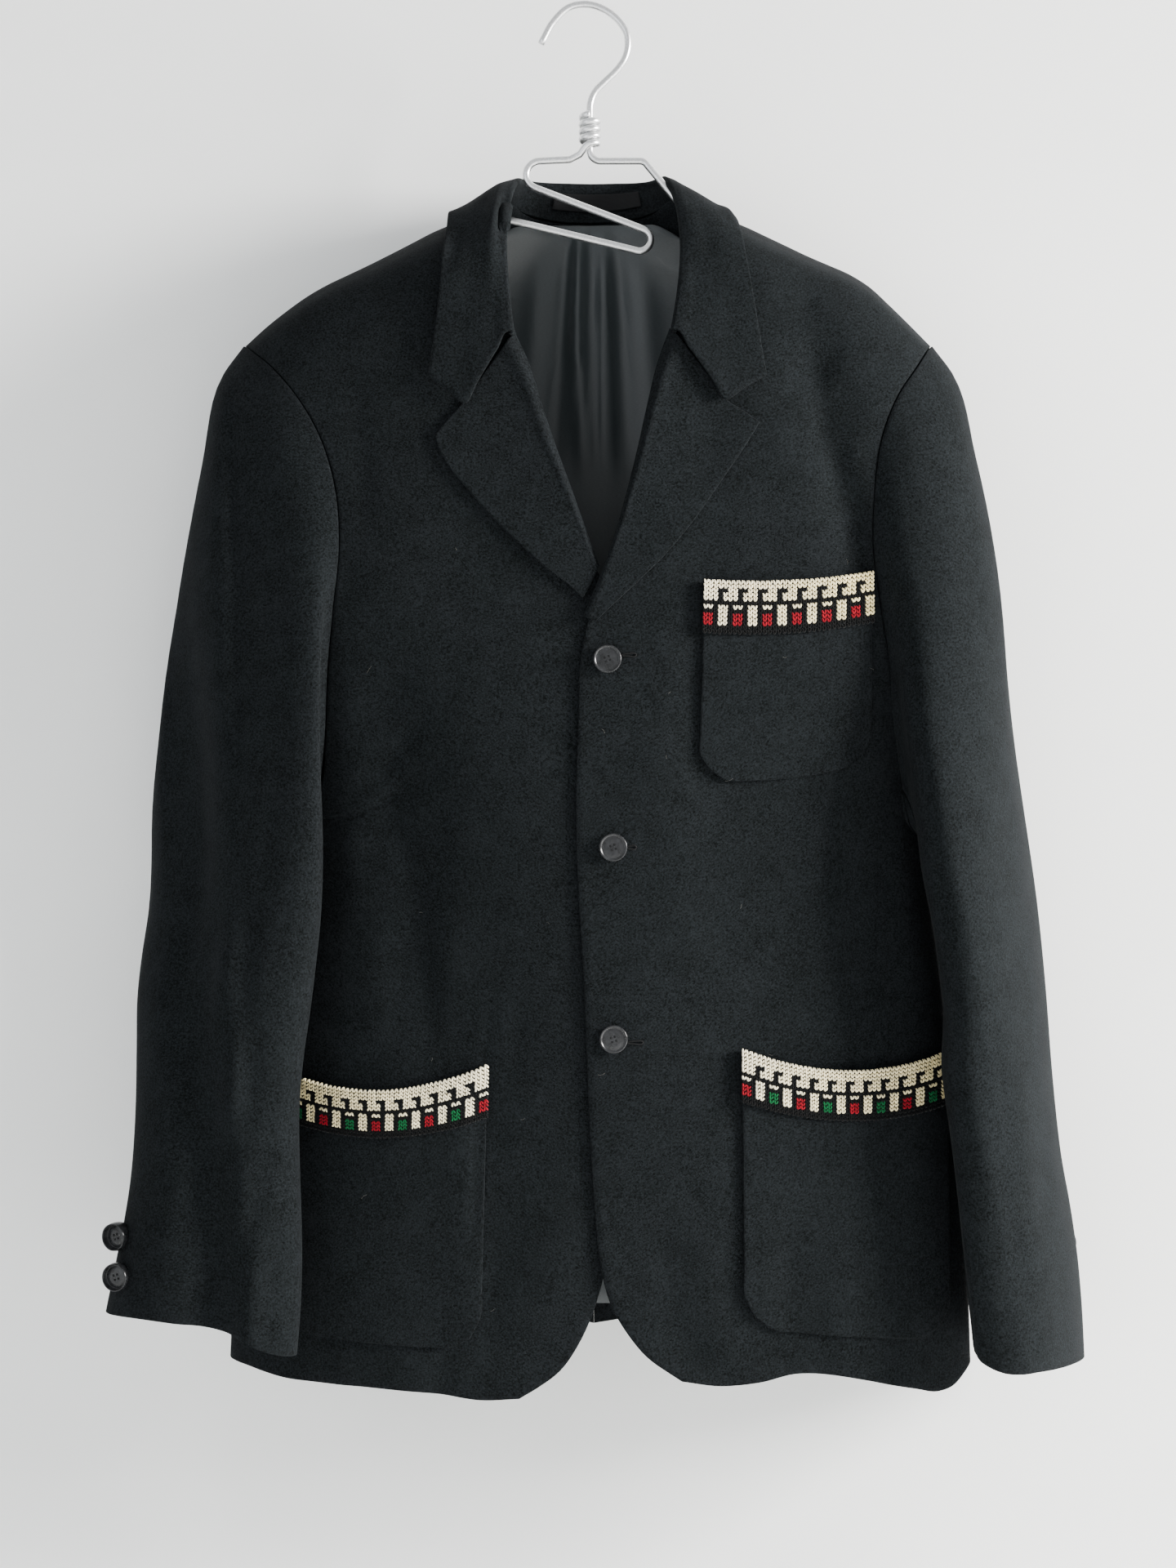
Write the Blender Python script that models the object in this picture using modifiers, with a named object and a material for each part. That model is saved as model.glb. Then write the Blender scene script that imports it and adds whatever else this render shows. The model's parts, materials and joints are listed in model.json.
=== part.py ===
"""A black wool jacket with three patch pockets topped by knit bands, hanging on a bent wire hanger.

Sizes are in millimetres. A "drop" is a distance below the hanger hook, X runs to the wearer's left,
and the front faces -Y. Each cloth piece is a wall lofted through rows worked out from the tables.
"""

import math

import bmesh
import bpy
import numpy as np
from mathutils import Matrix, Vector

MM = 0.001

# Cloth and seams
WOOL = 2.0
LINING_CLOTH = 1.0
POCKET_CLOTH = 1.8
KNIT_CLOTH = 2.6
LABEL_CLOTH = 0.8
SEAM_GAP = 0.3
ARMHOLE_GAP = 0.9
SLEEVE_SEAM_GAP = 0.95
LAYER_GAP = 0.35
POCKET_GAP = 1.1
BAND_GAP = 0.45

# Body: how far each side reaches from the hanger's middle, how far the front and back stand out
# from the shoulder ridge, and how square its section is, at each drop
BODY_COLUMNS = ("drop", "right", "left", "front", "back", "squareness")
BODY = (
    (100, 255, 262, 42, 40, 2.4),
    (220, 258, 262, 48, 45, 2.4),
    (330, 250, 257, 55, 47, 2.4),
    (430, 226, 240, 58, 47, 2.2),
    (545, 198, 222, 57, 46, 1.9),
    (640, 210, 233, 56, 45, 1.9),
    (740, 224, 243, 55, 43, 2.0),
    (830, 233, 250, 54, 41, 2.2),
    (910, 237, 253, 53, 40, 2.3),
)
BODY_MIDDLE = 8.0
RIDGE_Y = 2.0
RIDGE_ROUNDING = 70.0

# Shoulder ridge: drop of each side's ridge at each reach from the middle
SHOULDER_COLUMNS = ("reach", "right", "left")
SHOULDER = (
    (0, 98, 98), (61, 124.5, 124.5), (80, 137.6, 135.4), (100, 146.6, 143.2), (124, 159, 154.2),
    (150, 172, 166.3), (172, 182.4, 175.6), (183, 188.6, 182), (194, 196.2, 191.6),
    (205, 204.4, 202), (226, 223, 223), (262, 262, 262),
)
SHOULDER_TIP = 226.0

# Armhole from the underarm up to the shoulder tip: reach of its front and back edges on each side
ARMHOLE_COLUMNS = ("drop", "right_front", "left_front", "right_back", "left_back")
ARMHOLE = (
    (545, 198, 222, 198, 222),
    (537, 181, 211, 191, 216),
    (515, 173, 206, 187, 211),
    (478, 169, 200, 184, 207),
    (438, 167, 195, 182, 203),
    (398, 163, 188, 181, 199),
    (358, 159, 183, 181, 196),
    (320, 162, 184, 184, 196),
    (288, 172, 189, 190, 199),
    (262, 187, 199, 199, 205),
    (241, 205, 213, 210, 214),
    (229, 219, 221, 220, 221),
    (223, 226, 226, 226, 226),
)

# Rows of the body panels below the underarm: drop at the side seam, at the front edge and at the
# centre back
BODY_ROW_COLUMNS = ("side", "front_edge", "centre_back")
BODY_ROWS = (
    (888, 904, 876),
    (878, 897, 866),
    (862, 886, 850),
    (840, 870, 828),
    (815, 848, 803),
    (785, 820, 773),
    (748, 782, 738),
    (708, 737, 700),
    (668, 688, 662),
    (628, 638, 624),
    (588, 590, 586),
    (545, 545, 545),
)
# The same above the underarm, one row for each row of the armhole
UPPER_FRONT_EDGE = (545, 508, 470, 434, 402, 372, 340, 304, 264, 224, 184, 148, 124.5)
UPPER_CENTRE_BACK = (545, 505, 464, 424, 386, 348, 310, 272, 236, 202, 172, 150, 134.5)
BACK_NECK_COLUMNS = ("reach", "drop")
BACK_NECK = ((0, 134.5), (20, 134), (40, 131), (52, 128), (61, 124.5))
NECK_POINT = 61.0
BACK_NECK_STEPS = 3

# Hem: drop at each place across, worn side by side with the rounded quarters
HEM_COLUMNS = ("x", "drop")
HEM_RIGHT = (
    (-236, 888), (-222, 890), (-200, 895), (-168, 897), (-115, 900), (-83, 903), (-57, 906), (-44, 904),
)
HEM_LEFT = (
    (60, 893), (78, 896), (107, 895), (132, 890), (158, 891), (184, 896), (211, 902), (236, 904), (252, 891),
)
HEM_FADE = 90.0

# Front edges, from the neck down: x at each drop
EDGE_COLUMNS = ("drop", "x")
EDGE_RIGHT = (
    (124.5, -61), (150, -61.5), (175, -60), (200, -57), (222, -50.5), (242, -41), (274, -31),
    (303, -21.5), (325, -13), (349, -4.5), (369, 2.5), (385, 10), (402, 20), (420, 30), (442, 34),
    (560, 35), (690, 34), (750, 29), (800, 18), (831, 8), (855, 1), (874, -9), (890, -22), (904, -44),
)
EDGE_LEFT = (
    (124.5, 63), (150, 66.5), (175, 67), (200, 63.5), (222, 56.5), (240, 48), (261, 42.5), (291, 36),
    (325, 28), (360, 18.5), (381, 10.5), (403, 1.5), (416, -3), (430, -4.5), (462, -5.7), (500, -7.2),
    (556, -7.2), (630, -3), (740, 1.6), (792, 5.2), (823, 9), (842, 14), (855, 21), (877, 38), (893, 60),
)
OVERLAP_LIFT = 2.9
OVERLAP_FROM = 42.0
OVERLAP_TO = 82.0

# Soft folds of the body front: a trough from top to bottom, its half-width and its depth
FOLD_COLUMNS = ("x_top", "drop_top", "x_low", "drop_low", "spread", "depth")
FRONT_FOLDS = (
    (138, 215, 176, 372, 15, 5.5),
    (-128, 470, -103, 680, 20, 5.0),
    (-52, 655, -56, 860, 12, 2.5),
    (182, 560, 196, 668, 22, 4.0),
    (46, 790, 66, 888, 20, 2.5),
    (132, 800, 136, 900, 17, 2.5),
    (208, 845, 212, 905, 18, -2.0),
    (-120, 860, -118, 905, 18, -2.0),
)
BACK_FOLDS = (
    (-95, 300, -120, 620, 30, 4.0),
    (92, 330, 126, 640, 34, 4.0),
    (-60, 700, -66, 880, 22, 3.0),
    (84, 690, 90, 880, 26, 3.0),
)

# Sleeves below the underarm: reach of the outer and inner sides, the middle's y, how far the front
# and back bulge from it, how far the outer side turns back, and the turn of the seams in degrees
SLEEVE_COLUMNS = ("drop", "outer", "inner", "y", "front", "back", "tilt", "turn")
SLEEVE_RIGHT = (
    (595, 290, 170, -27, 33, 15, 32, 68),
    (640, 293.5, 174, -37, 34, 16, 24, 65),
    (705, 292, 181, -46, 33, 17, 16, 60),
    (765, 293.5, 181, -52, 30, 17, 12, 54),
    (805, 298.5, 180.5, -56, 28, 17, 10, 48),
    (845, 306, 182, -59, 26, 17, 9, 48),
    (862, 308, 184, -60, 25, 17, 9, 48),
)
SLEEVE_LEFT = (
    (590, 301, 218, -12, 44, 38, 44, 50),
    (640, 306, 224, -12, 44, 37, 44, 46),
    (700, 311, 232, -12, 43, 36, 43, 40),
    (760, 318, 240, -12, 42, 36, 42, 34),
    (810, 326, 245, -12, 42, 36, 41, 28),
    (850, 329, 249, -12, 42, 36, 40, 24),
    (884, 331, 253, -12, 42, 36, 40, 22),
)
SLEEVE_ROWS = 9
CAP_ROWS = 5
# Cuff edge: its drop at each angle round the sleeve
CUFF_COLUMNS = ("angle", "drop")
CUFF_RIGHT = (
    (0, 848), (75, 849), (108, 855), (140, 867), (180, 871), (225, 867), (280, 857), (330, 850), (360, 848),
)
CUFF_LEFT = (
    (0, 895), (60, 888), (95, 885), (125, 884), (150, 879), (180, 872), (215, 876), (280, 890), (360, 895),
)
# Sleeve cap: how far its first stretch leaves the armhole outward, forward and down
CAP_REACH = {-1: 74.0, 1: 58.0}
CAP_FORWARD = 30.0
CAP_FALL = 78.0
CAP_DROP = 16.0
UNDERARM_FORWARD = 34.0
UNDERARM_ANGLE = 170.0
UNDERARM_SPREAD = 14.0
UNDERARM_CLEAR = 3.0
# Outline of the sleeve cap from the front: reach at each drop
OUTLINE_COLUMNS = ("drop", "reach")
OUTLINE_RIGHT = (
    (222, 226), (228, 234), (240, 240.5), (262, 245.5), (286, 250.5), (339, 262), (406, 275.5),
    (475, 285.5), (518, 290), (560, 292), (595, 290),
)
OUTLINE_LEFT = (
    (223, 226), (229, 234), (237, 238.5), (250, 243), (266, 247), (285, 251), (335, 262),
    (404, 273), (479, 283), (528, 291), (590, 301),
)
OUTLINE_FROM = 205.0
# Lengthwise folds of each sleeve: the angle round the sleeve where a trough is at the underarm and
# at the cuff, its half-width in degrees and its depth
SLEEVE_FOLD_COLUMNS = ("turn_top", "turn_low", "spread", "depth")
FOLDS_RIGHT = ((68, 100, 17, 10.0), (94, 126, 10, -3.5), (215, 235, 20, 5.0))
FOLDS_LEFT = ((150, 140, 20, 4.0), (262, 240, 18, 6.0))
TOP_SLEEVE_FRONT_SEAM = 10
TOP_SLEEVE_BACK_SEAM = 20

# Collar, from the right gorge round the neck to the left gorge: the crest of its fold and the edge
# of its fall
COLLAR_COLUMNS = ("crest_x", "crest_y", "crest_drop", "edge_x", "edge_y", "edge_drop")
COLLAR = (
    (-47.0, -55.5, 224, -102.5, -52.5, 252),
    (-50.0, -49.5, 196, -98.5, -52.0, 228),
    (-52.0, -39.0, 168, -95.0, -49.0, 196),
    (-51.5, -27.5, 145, -92.5, -40.0, 166),
    (-48.5, -12.0, 124, -91.5, -24.0, 148.5),
    (-45.5, 4.0, 113, -90.5, 2.0, 138.5),
    (-41.0, 24.0, 108, -84.0, 30.0, 144.5),
    (-31.0, 37.0, 106, -64.0, 46.0, 150),
    (-15.0, 43.5, 105, -32.0, 50.5, 152),
    (3.0, 45.0, 105, 3.0, 51.5, 152),
    (21.0, 43.5, 105, 38.0, 50.5, 152),
    (37.0, 37.0, 106, 70.0, 46.0, 150),
    (46.0, 24.0, 107, 92.0, 30.0, 145),
    (50.0, 4.0, 112, 97.0, 2.0, 140.5),
    (54.5, -12.0, 125, 98.5, -24.0, 149),
    (58.0, -27.5, 146, 101.0, -40.0, 168),
    (59.0, -39.0, 168, 105.5, -49.0, 198),
    (57.0, -49.5, 195, 110.0, -52.0, 228),
    (52.5, -55.5, 223, 114.0, -53.0, 251),
)
COLLAR_STATIONS = 25
COLLAR_TURN = 3.0
COLLAR_BULGE = 2.0
COLLAR_NOTCH = ((-78.0, 269.8), (87.3, 267.0))
COLLAR_NOTCH_STEP = 4
COLLAR_CLEAR = 4.2

# Lapels: the roll line down to the break, and the outer edge from the point down
LAPEL_COLUMNS = ("roll_x", "roll_drop", "edge_x", "edge_drop")
LAPEL_RIGHT = (
    (-45.8, 224.5, -96.4, 293),
    (-37.3, 243, -91.0, 306),
    (-29.6, 268, -76.0, 325),
    (-21.0, 294, -58.0, 345),
    (-12.3, 318, -40.5, 362),
    (-3.8, 342, -25.0, 376),
    (3.0, 362, -11.5, 386),
    (7.5, 373, -3.5, 394),
)
LAPEL_LEFT = (
    (51.3, 222.3, 108.3, 283),
    (43.6, 244, 99.0, 298),
    (37.4, 270, 84.0, 320),
    (31.0, 299, 67.0, 344),
    (23.8, 328, 49.0, 366),
    (15.2, 358, 31.0, 384),
    (6.0, 383, 17.0, 397),
    (-3.0, 405, 5.5, 408),
)
LAPEL_NOTCH_RIGHT = (-78.3, 271.5)
LAPEL_NOTCH_LEFT = (87.6, 268.8)
LAPEL_NOTCH_STEP = 5
LAPEL_ROWS = 13
LAPEL_STEPS = 8
LAPEL_TURN = 4.0
LAPEL_LIFT = 3.3
LAPEL_SPRING = 2.6
LAPEL_BOW = 0.8

# Patch pockets: the near and far sides, the drop of the top edge at each end, how far it sags, the
# drop of the bottom edge at each end, how far that bows, the corner radius and the top's gape
POCKET_COLUMNS = (
    "near_top", "near_low", "far", "top_near", "top_far", "sag",
    "low_near", "low_far", "bow", "corner", "gape",
)
POCKETS = {
    "chest_pocket": (74.0, 70.0, 181.5, 383.0, 376.5, 3.5, 509.5, 499.0, 4.0, 24.0, 0.6),
    "hip_pocket_left": (98.0, 99.5, 234.0, 681.0, 686.0, 13.0, 859.5, 870.0, 1.0, 24.0, 2.6),
    "hip_pocket_right": (-64.0, -68.5, -198.0, 691.0, 697.0, 14.5, 871.5, 864.0, 2.0, 22.0, 2.6),
}
BAND_HEIGHT = 33.0
BAND_OVERHANG = 1.0
POCKET_STEPS = 9
POCKET_ROWS = 9
BAND_ROWS = 3

# Buttons
BUTTON_RADIUS = 9.0
BUTTON_THICK = 3.6
BUTTON_RIM = 1.7
BUTTON_DISH = 1.1
BUTTON_HOLE = 0.95
BUTTON_HOLE_REACH = 1.9
BUTTON_SIDES = 16
BUTTON_HOLE_SIDES = 6
BUTTON_SHANK = 0.6
# Front buttons: place and turn
FRONT_BUTTON_COLUMNS = ("x", "drop", "turn")
FRONT_BUTTONS = ((12.3, 432.6, 12), (15.9, 551.9, 50), (16.2, 673.6, 2))
CUFF_BUTTON_COLUMNS = ("drop", "angle", "shank")
CUFF_BUTTONS_RIGHT = ((799.0, 17.0, 1.4), (823.0, 28.0, 0.7))
CUFF_BUTTONS_LEFT = ((822.0, -32.0, -0.3), (846.0, -32.0, -0.2))

# Lining and label
LINING_TOP = 135.5
LINING_LOW = 862.0
LINING_REACH = 0.86
LINING_ROWS = 12
LINING_STEPS = 14
LINING_GAP = 1.9
LINING_BELOW_RIDGE = 18.0
LINING_CLEAR = 2.5
PLEAT_X = -3.0
PLEAT_SPREAD = 9.0
PLEAT_DEPTH = 5.0
LABEL_STATIONS = (0.425, 0.595)
LABEL_LOW = 0.27
LABEL_HIGH = 0.70

# Hanger wire
WIRE_RADIUS = 2.0
HOOK_POINTS = (
    (-31, -24), (-22.5, -9), (-12.5, 0), (0, 2), (11.8, -2), (20.4, -9), (25.6, -17.5), (26.3, -25),
    (24.3, -33.5), (19.2, -41), (11, -49), (4.4, -56), (1.6, -63), (1.2, -72), (1.2, -90),
)
RIGHT_LEG_POINTS = ((3.4, -96), (9, -100.2), (28, -101.2), (36.5, -104), (43, -114), (51.5, -125))
LEFT_ARM_START = ((-1.6, -92.5), (-5.5, -97.5), (-12, -100.4), (-28, -101.0))
U_TURN_COLUMNS = ("x", "z", "radius", "start", "end")
LEFT_U_TURN = (-31.5, -110.4, 9.3, 95, 248)
RIGHT_U_TURN = (34.0, -153.2, 7.4, 68, -112)
COIL_TURNS = 4
COIL_TOP = -70.0
COIL_PITCH = 4.3
COIL_STEPS = 12
ARM_REACHES = (62.0, 95.0, 130.0, 165.0, 194.0)
ARM_BELOW_RIDGE = 8.4

COLOURS = {
    "black wool": ((0.016, 0.018, 0.020), 0.92, 0.0),
    "lining satin": ((0.030, 0.038, 0.036), 0.38, 0.0),
    "knit wool": ((0.62, 0.58, 0.45), 0.95, 0.0),
    "woven label": ((0.012, 0.012, 0.013), 0.60, 0.0),
    "polished horn": ((0.030, 0.031, 0.033), 0.28, 0.0),
    "satin aluminium": ((0.62, 0.62, 0.63), 0.34, 1.0),
}


def clear_scene():
    """Remove the objects of the scene that the script starts in."""
    for found in list(bpy.data.objects):
        bpy.data.objects.remove(found, do_unlink=True)


def new_collection(name):
    """A collection linked to the scene."""
    made = bpy.data.collections.new(name)
    bpy.context.scene.collection.children.link(made)
    return made


def material_for(node, kind):
    """The node's own Principled material."""
    colour, roughness, metallic = COLOURS[kind]
    made = bpy.data.materials.new(f"{kind} {node}")
    made.use_nodes = True
    shader = made.node_tree.nodes["Principled BSDF"]
    shader.inputs["Base Color"].default_value = (*colour, 1.0)
    shader.inputs["Roughness"].default_value = roughness
    shader.inputs["Metallic"].default_value = metallic
    made.diffuse_color = (*colour, 1.0)
    return made


# Curves through the tables


def column(table, names, name):
    """One named column of a table."""
    place = names.index(name)
    return np.array([row[place] for row in table], float)


def through(places, values, at):
    """A smooth curve through the values, held straight past both ends."""
    places = np.asarray(places, float)
    values = np.asarray(values, float)
    at = np.asarray(at, float)
    steps = np.diff(places)
    slopes = np.diff(values) / steps
    tangents = np.empty(len(places))
    tangents[0] = slopes[0]
    tangents[-1] = slopes[-1]
    tangents[1:-1] = (slopes[:-1] * steps[1:] + slopes[1:] * steps[:-1]) / (steps[:-1] + steps[1:])
    found = np.clip(np.searchsorted(places, at) - 1, 0, len(steps) - 1)
    share = np.clip((at - places[found]) / steps[found], 0.0, 1.0)
    start, end = values[found], values[found + 1]
    first, last = tangents[found] * steps[found], tangents[found + 1] * steps[found]
    blend = share * share * (3 - 2 * share)
    bend = share * (1 - share)
    return start + (end - start) * blend + first * bend * (1 - share) - last * bend * share


def smoothstep(low, high, at):
    """0 below low, 1 above high, and smooth between."""
    share = np.clip((np.asarray(at, float) - low) / (high - low), 0.0, 1.0)
    return share * share * (3 - 2 * share)


def from_table(table, names, key, name, at):
    """A smooth reading of one column of a table against another."""
    return through(column(table, names, key), column(table, names, name), at)


# Shape of the body


def ridge_drop(x):
    """Drop of the shoulder ridge over a place across."""
    right = from_table(SHOULDER, SHOULDER_COLUMNS, "reach", "right", np.abs(x))
    left = from_table(SHOULDER, SHOULDER_COLUMNS, "reach", "left", np.abs(x))
    return np.where(np.asarray(x) > 0, left, right)


def side_roundness(x, drop):
    """1 in the middle of the body, falling to 0 at its side."""
    left = from_table(BODY, BODY_COLUMNS, "drop", "left", drop) - BODY_MIDDLE
    right = from_table(BODY, BODY_COLUMNS, "drop", "right", drop) + BODY_MIDDLE
    away = x - BODY_MIDDLE
    squareness = from_table(BODY, BODY_COLUMNS, "drop", "squareness", drop)
    share = np.clip(np.abs(away) / np.where(away > 0, left, right), 0.0, 1.0)
    return (1 - share**squareness) ** (1 / squareness)


def crown(x, drop):
    """0 on the shoulder ridge, rising to 1 where the cloth hangs straight."""
    below = np.clip((drop - ridge_drop(x)) / RIDGE_ROUNDING, 0.0, 1.0)
    return np.sqrt(1 - (1 - below) ** 2)


def folds_at(folds, x, drop):
    """How far the soft folds push the cloth in."""
    pushed = np.zeros(np.broadcast(x, drop).shape)
    for x_top, drop_top, x_low, drop_low, spread, depth in folds:
        share = (drop - drop_top) / (drop_low - drop_top)
        line = x_top + (x_low - x_top) * np.clip(share, 0, 1)
        fade = smoothstep(-0.35, 0.2, share) * (1 - smoothstep(0.8, 1.35, share))
        pushed = pushed + depth * fade * np.exp(-(((x - line) / spread) ** 2))
    return pushed


def body_front(x, drop):
    """y of the body's front."""
    depth = from_table(BODY, BODY_COLUMNS, "drop", "front", drop)
    shape = side_roundness(x, drop) * crown(x, drop)
    return RIDGE_Y - depth * shape + folds_at(FRONT_FOLDS, x, drop) * smoothstep(0.1, 0.7, shape)


def body_back(x, drop):
    """y of the body's back."""
    depth = from_table(BODY, BODY_COLUMNS, "drop", "back", drop)
    shape = side_roundness(x, drop) * crown(x, drop)
    return RIDGE_Y + depth * shape - folds_at(BACK_FOLDS, x, drop) * smoothstep(0.1, 0.7, shape)


def overlap_lift(x, drop):
    """How far the left front stands out over the right one."""
    return OVERLAP_LIFT * (1 - smoothstep(OVERLAP_FROM, OVERLAP_TO, x)) * np.ones_like(drop)


def left_front(x, drop):
    """y of the left front, which lies over the right one."""
    return body_front(x, drop) - overlap_lift(x, drop)


# Walls from grids of points


def unit(vectors):
    """Vectors of length 1."""
    return vectors / np.maximum(np.linalg.norm(vectors, axis=-1, keepdims=True), 1e-9)


def grid_normals(grid, outward):
    """Unit normals of a grid of points, turned to the side that outward points to."""
    along = np.gradient(grid, axis=0)
    across = np.gradient(grid, axis=1)
    normal = np.cross(along, across)
    normal /= np.maximum(np.linalg.norm(normal, axis=2, keepdims=True), 1e-9)
    middle = normal[normal.shape[0] // 2, normal.shape[1] // 2]
    return normal if np.dot(middle, outward) > 0 else -normal


def square_to_seam(normal, seams):
    """Turn the normals along each seam into the seam's plane, so that the rims face each other."""
    for rows, steps, axis in seams:
        rim = normal[rows, steps]
        rim[:, axis] = 0.0
        normal[rows, steps] = rim / np.maximum(np.linalg.norm(rim, axis=1, keepdims=True), 1e-9)
    return normal


def wall_between(outer, inner):
    """Vertices and faces of the closed wall between two grids."""
    rows, steps = outer.shape[:2]
    vertices = np.concatenate([outer.reshape(-1, 3), inner.reshape(-1, 3)])
    count = rows * steps
    faces = []
    for row in range(rows - 1):
        for step in range(steps - 1):
            a = row * steps + step
            b, c, d = a + 1, a + steps + 1, a + steps
            faces.append((a, b, c, d))
            faces.append((count + d, count + c, count + b, count + a))
    rim = [step for step in range(steps)]
    rim += [row * steps + steps - 1 for row in range(1, rows)]
    rim += [(rows - 1) * steps + step for step in range(steps - 2, -1, -1)]
    rim += [row * steps for row in range(rows - 2, 0, -1)]
    for here, there in zip(rim, rim[1:] + rim[:1]):
        faces.append((there, here, count + here, count + there))
    return vertices, faces


def add_mesh(name, vertices, faces, kind):
    """A node from vertices in millimetres."""
    mesh = bpy.data.meshes.new(name)
    mesh.from_pydata([tuple(point) for point in np.asarray(vertices) * MM], [], faces)
    shape = bmesh.new()
    shape.from_mesh(mesh)
    bmesh.ops.recalc_face_normals(shape, faces=shape.faces)
    shape.to_mesh(mesh)
    shape.free()
    mesh.shade_smooth()
    node = bpy.data.objects.new(name, mesh)
    mesh.materials.append(material_for(name, kind))
    PARTS.objects.link(node)
    return node


def cloth(name, grid, outward, thickness, kind, seams=()):
    """A cloth wall: the grid is its outer side, and the wall grows inward from it."""
    normal = square_to_seam(grid_normals(grid, outward), seams)
    vertices, faces = wall_between(grid, grid - normal * thickness)
    return add_mesh(name, vertices, faces, kind)


def points(x, y, drop):
    """A grid of points from x, y and drop."""
    x, y, drop = np.broadcast_arrays(x, y, drop)
    return np.stack([x, y, -drop], axis=-1).astype(float)


def raised(grid, lift):
    """A grid on the front's surface, moved out along its normals."""
    return grid + grid_normals(grid, (0, -1, 0)) * np.asarray(lift)[..., None]


# Body panels


def panel_rows(inner_x, inner_drop, outer_x, outer_drop, steps, side_rows):
    """x and drop of each panel point: rows fan out from the inner edge to the outer one."""
    share = np.linspace(0, 1, steps + 1)[None, :]
    rounded = np.sin(share * math.pi / 2)
    weight = smoothstep(side_rows + 3, side_rows - 1, np.arange(len(inner_x)))[:, None]
    share = share + (rounded - share) * weight
    x = inner_x[:, None] + (outer_x - inner_x)[:, None] * share
    inner_below = (inner_drop - ridge_drop(inner_x))[:, None]
    outer_below = (outer_drop - ridge_drop(outer_x))[:, None]
    drop = ridge_drop(x) + inner_below + (outer_below - inner_below) * share
    return x, drop


def bend_to_hem(x, drop, hem):
    """Move the lowest rows to the hem's own line, fading out above it."""
    line = from_table(hem, HEM_COLUMNS, "x", "drop", x[0])
    shift = line - drop[0]
    fade = np.clip(1 - (drop[0] - drop) / HEM_FADE, 0, 1)
    return drop + shift[None, :] * fade**2


def side_edge(sign, edge):
    """Reach and drop of a panel's outer edge: up the side seam, then the armhole."""
    side = "left" if sign > 0 else "right"
    low_drop = column(BODY_ROWS, BODY_ROW_COLUMNS, "side")
    low_reach = from_table(BODY, BODY_COLUMNS, "drop", side, low_drop)
    up_drop = column(ARMHOLE, ARMHOLE_COLUMNS, "drop")
    up_reach = column(ARMHOLE, ARMHOLE_COLUMNS, f"{side}_{edge}")
    return sign * np.concatenate([low_reach[:-1], up_reach]), np.concatenate([low_drop[:-1], up_drop])


def front_grid(sign, steps=12):
    """Outer points of one front."""
    edge = EDGE_LEFT if sign > 0 else EDGE_RIGHT
    outer_x, outer_drop = side_edge(sign, "front")
    inner_drop = np.concatenate([
        column(BODY_ROWS, BODY_ROW_COLUMNS, "front_edge")[:-1] - (11 if sign > 0 else 0) * hem_share(),
        UPPER_FRONT_EDGE,
    ])
    inner_x = from_table(edge, EDGE_COLUMNS, "drop", "x", inner_drop)
    x, drop = panel_rows(inner_x, inner_drop, outer_x, outer_drop, steps, len(BODY_ROWS))
    drop = bend_to_hem(x, drop, HEM_LEFT if sign > 0 else HEM_RIGHT)
    surface = left_front if sign > 0 else body_front
    y = surface(x, drop)
    y[-1] = RIDGE_Y - SEAM_GAP / 2
    y[: len(BODY_ROWS), -1] = RIDGE_Y - SEAM_GAP / 2
    return points(x, y, drop)


def hem_share():
    """1 at the hem row, fading over the rows of the rounded quarter."""
    drops = column(BODY_ROWS, BODY_ROW_COLUMNS, "front_edge")[:-1]
    return np.clip((drops - 800) / 104, 0, 1)


def back_grid(sign, steps=10):
    """Outer points of one half of the back."""
    outer_x, outer_drop = side_edge(sign, "back")
    inner_drop = np.concatenate([
        column(BODY_ROWS, BODY_ROW_COLUMNS, "centre_back")[:-1],
        UPPER_CENTRE_BACK,
    ])
    inner_x = np.full(len(inner_drop), BODY_MIDDLE / 2 + sign * SEAM_GAP / 2)
    x, drop = panel_rows(inner_x, inner_drop, outer_x, outer_drop, steps, len(BODY_ROWS))
    x, drop = shape_back_neck(x, drop, sign)
    y = body_back(x, drop)
    on_shoulder = np.abs(x[-1]) >= NECK_POINT - 0.5
    y[-1, on_shoulder] = RIDGE_Y + SEAM_GAP / 2
    y[: len(BODY_ROWS), -1] = RIDGE_Y + SEAM_GAP / 2
    return points(x, y, drop)


def shape_back_neck(x, drop, sign):
    """Bring the top row to the back neck and the shoulder seam, and ease the rows below it."""
    steps = x.shape[1] - 1
    start = x[-1, 0]
    across_neck = np.linspace(start, sign * NECK_POINT, BACK_NECK_STEPS + 1)
    across_shoulder = np.linspace(sign * NECK_POINT, sign * SHOULDER_TIP, steps - BACK_NECK_STEPS + 1)
    top_x = np.concatenate([across_neck, across_shoulder[1:]])
    reach = np.abs(top_x)
    neck = from_table(BACK_NECK, BACK_NECK_COLUMNS, "reach", "drop", reach)
    top_drop = np.where(reach > NECK_POINT - 0.5, ridge_drop(top_x), neck)
    rows = len(x) - 1
    for back in range(5):
        ease = (1 - back / 5) ** 2
        x[rows - back] += (top_x - x[rows]) * ease if back else 0
        drop[rows - back] += (top_drop - drop[rows]) * ease if back else 0
    x[rows] = top_x
    drop[rows] = top_drop
    return x, drop


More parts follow.
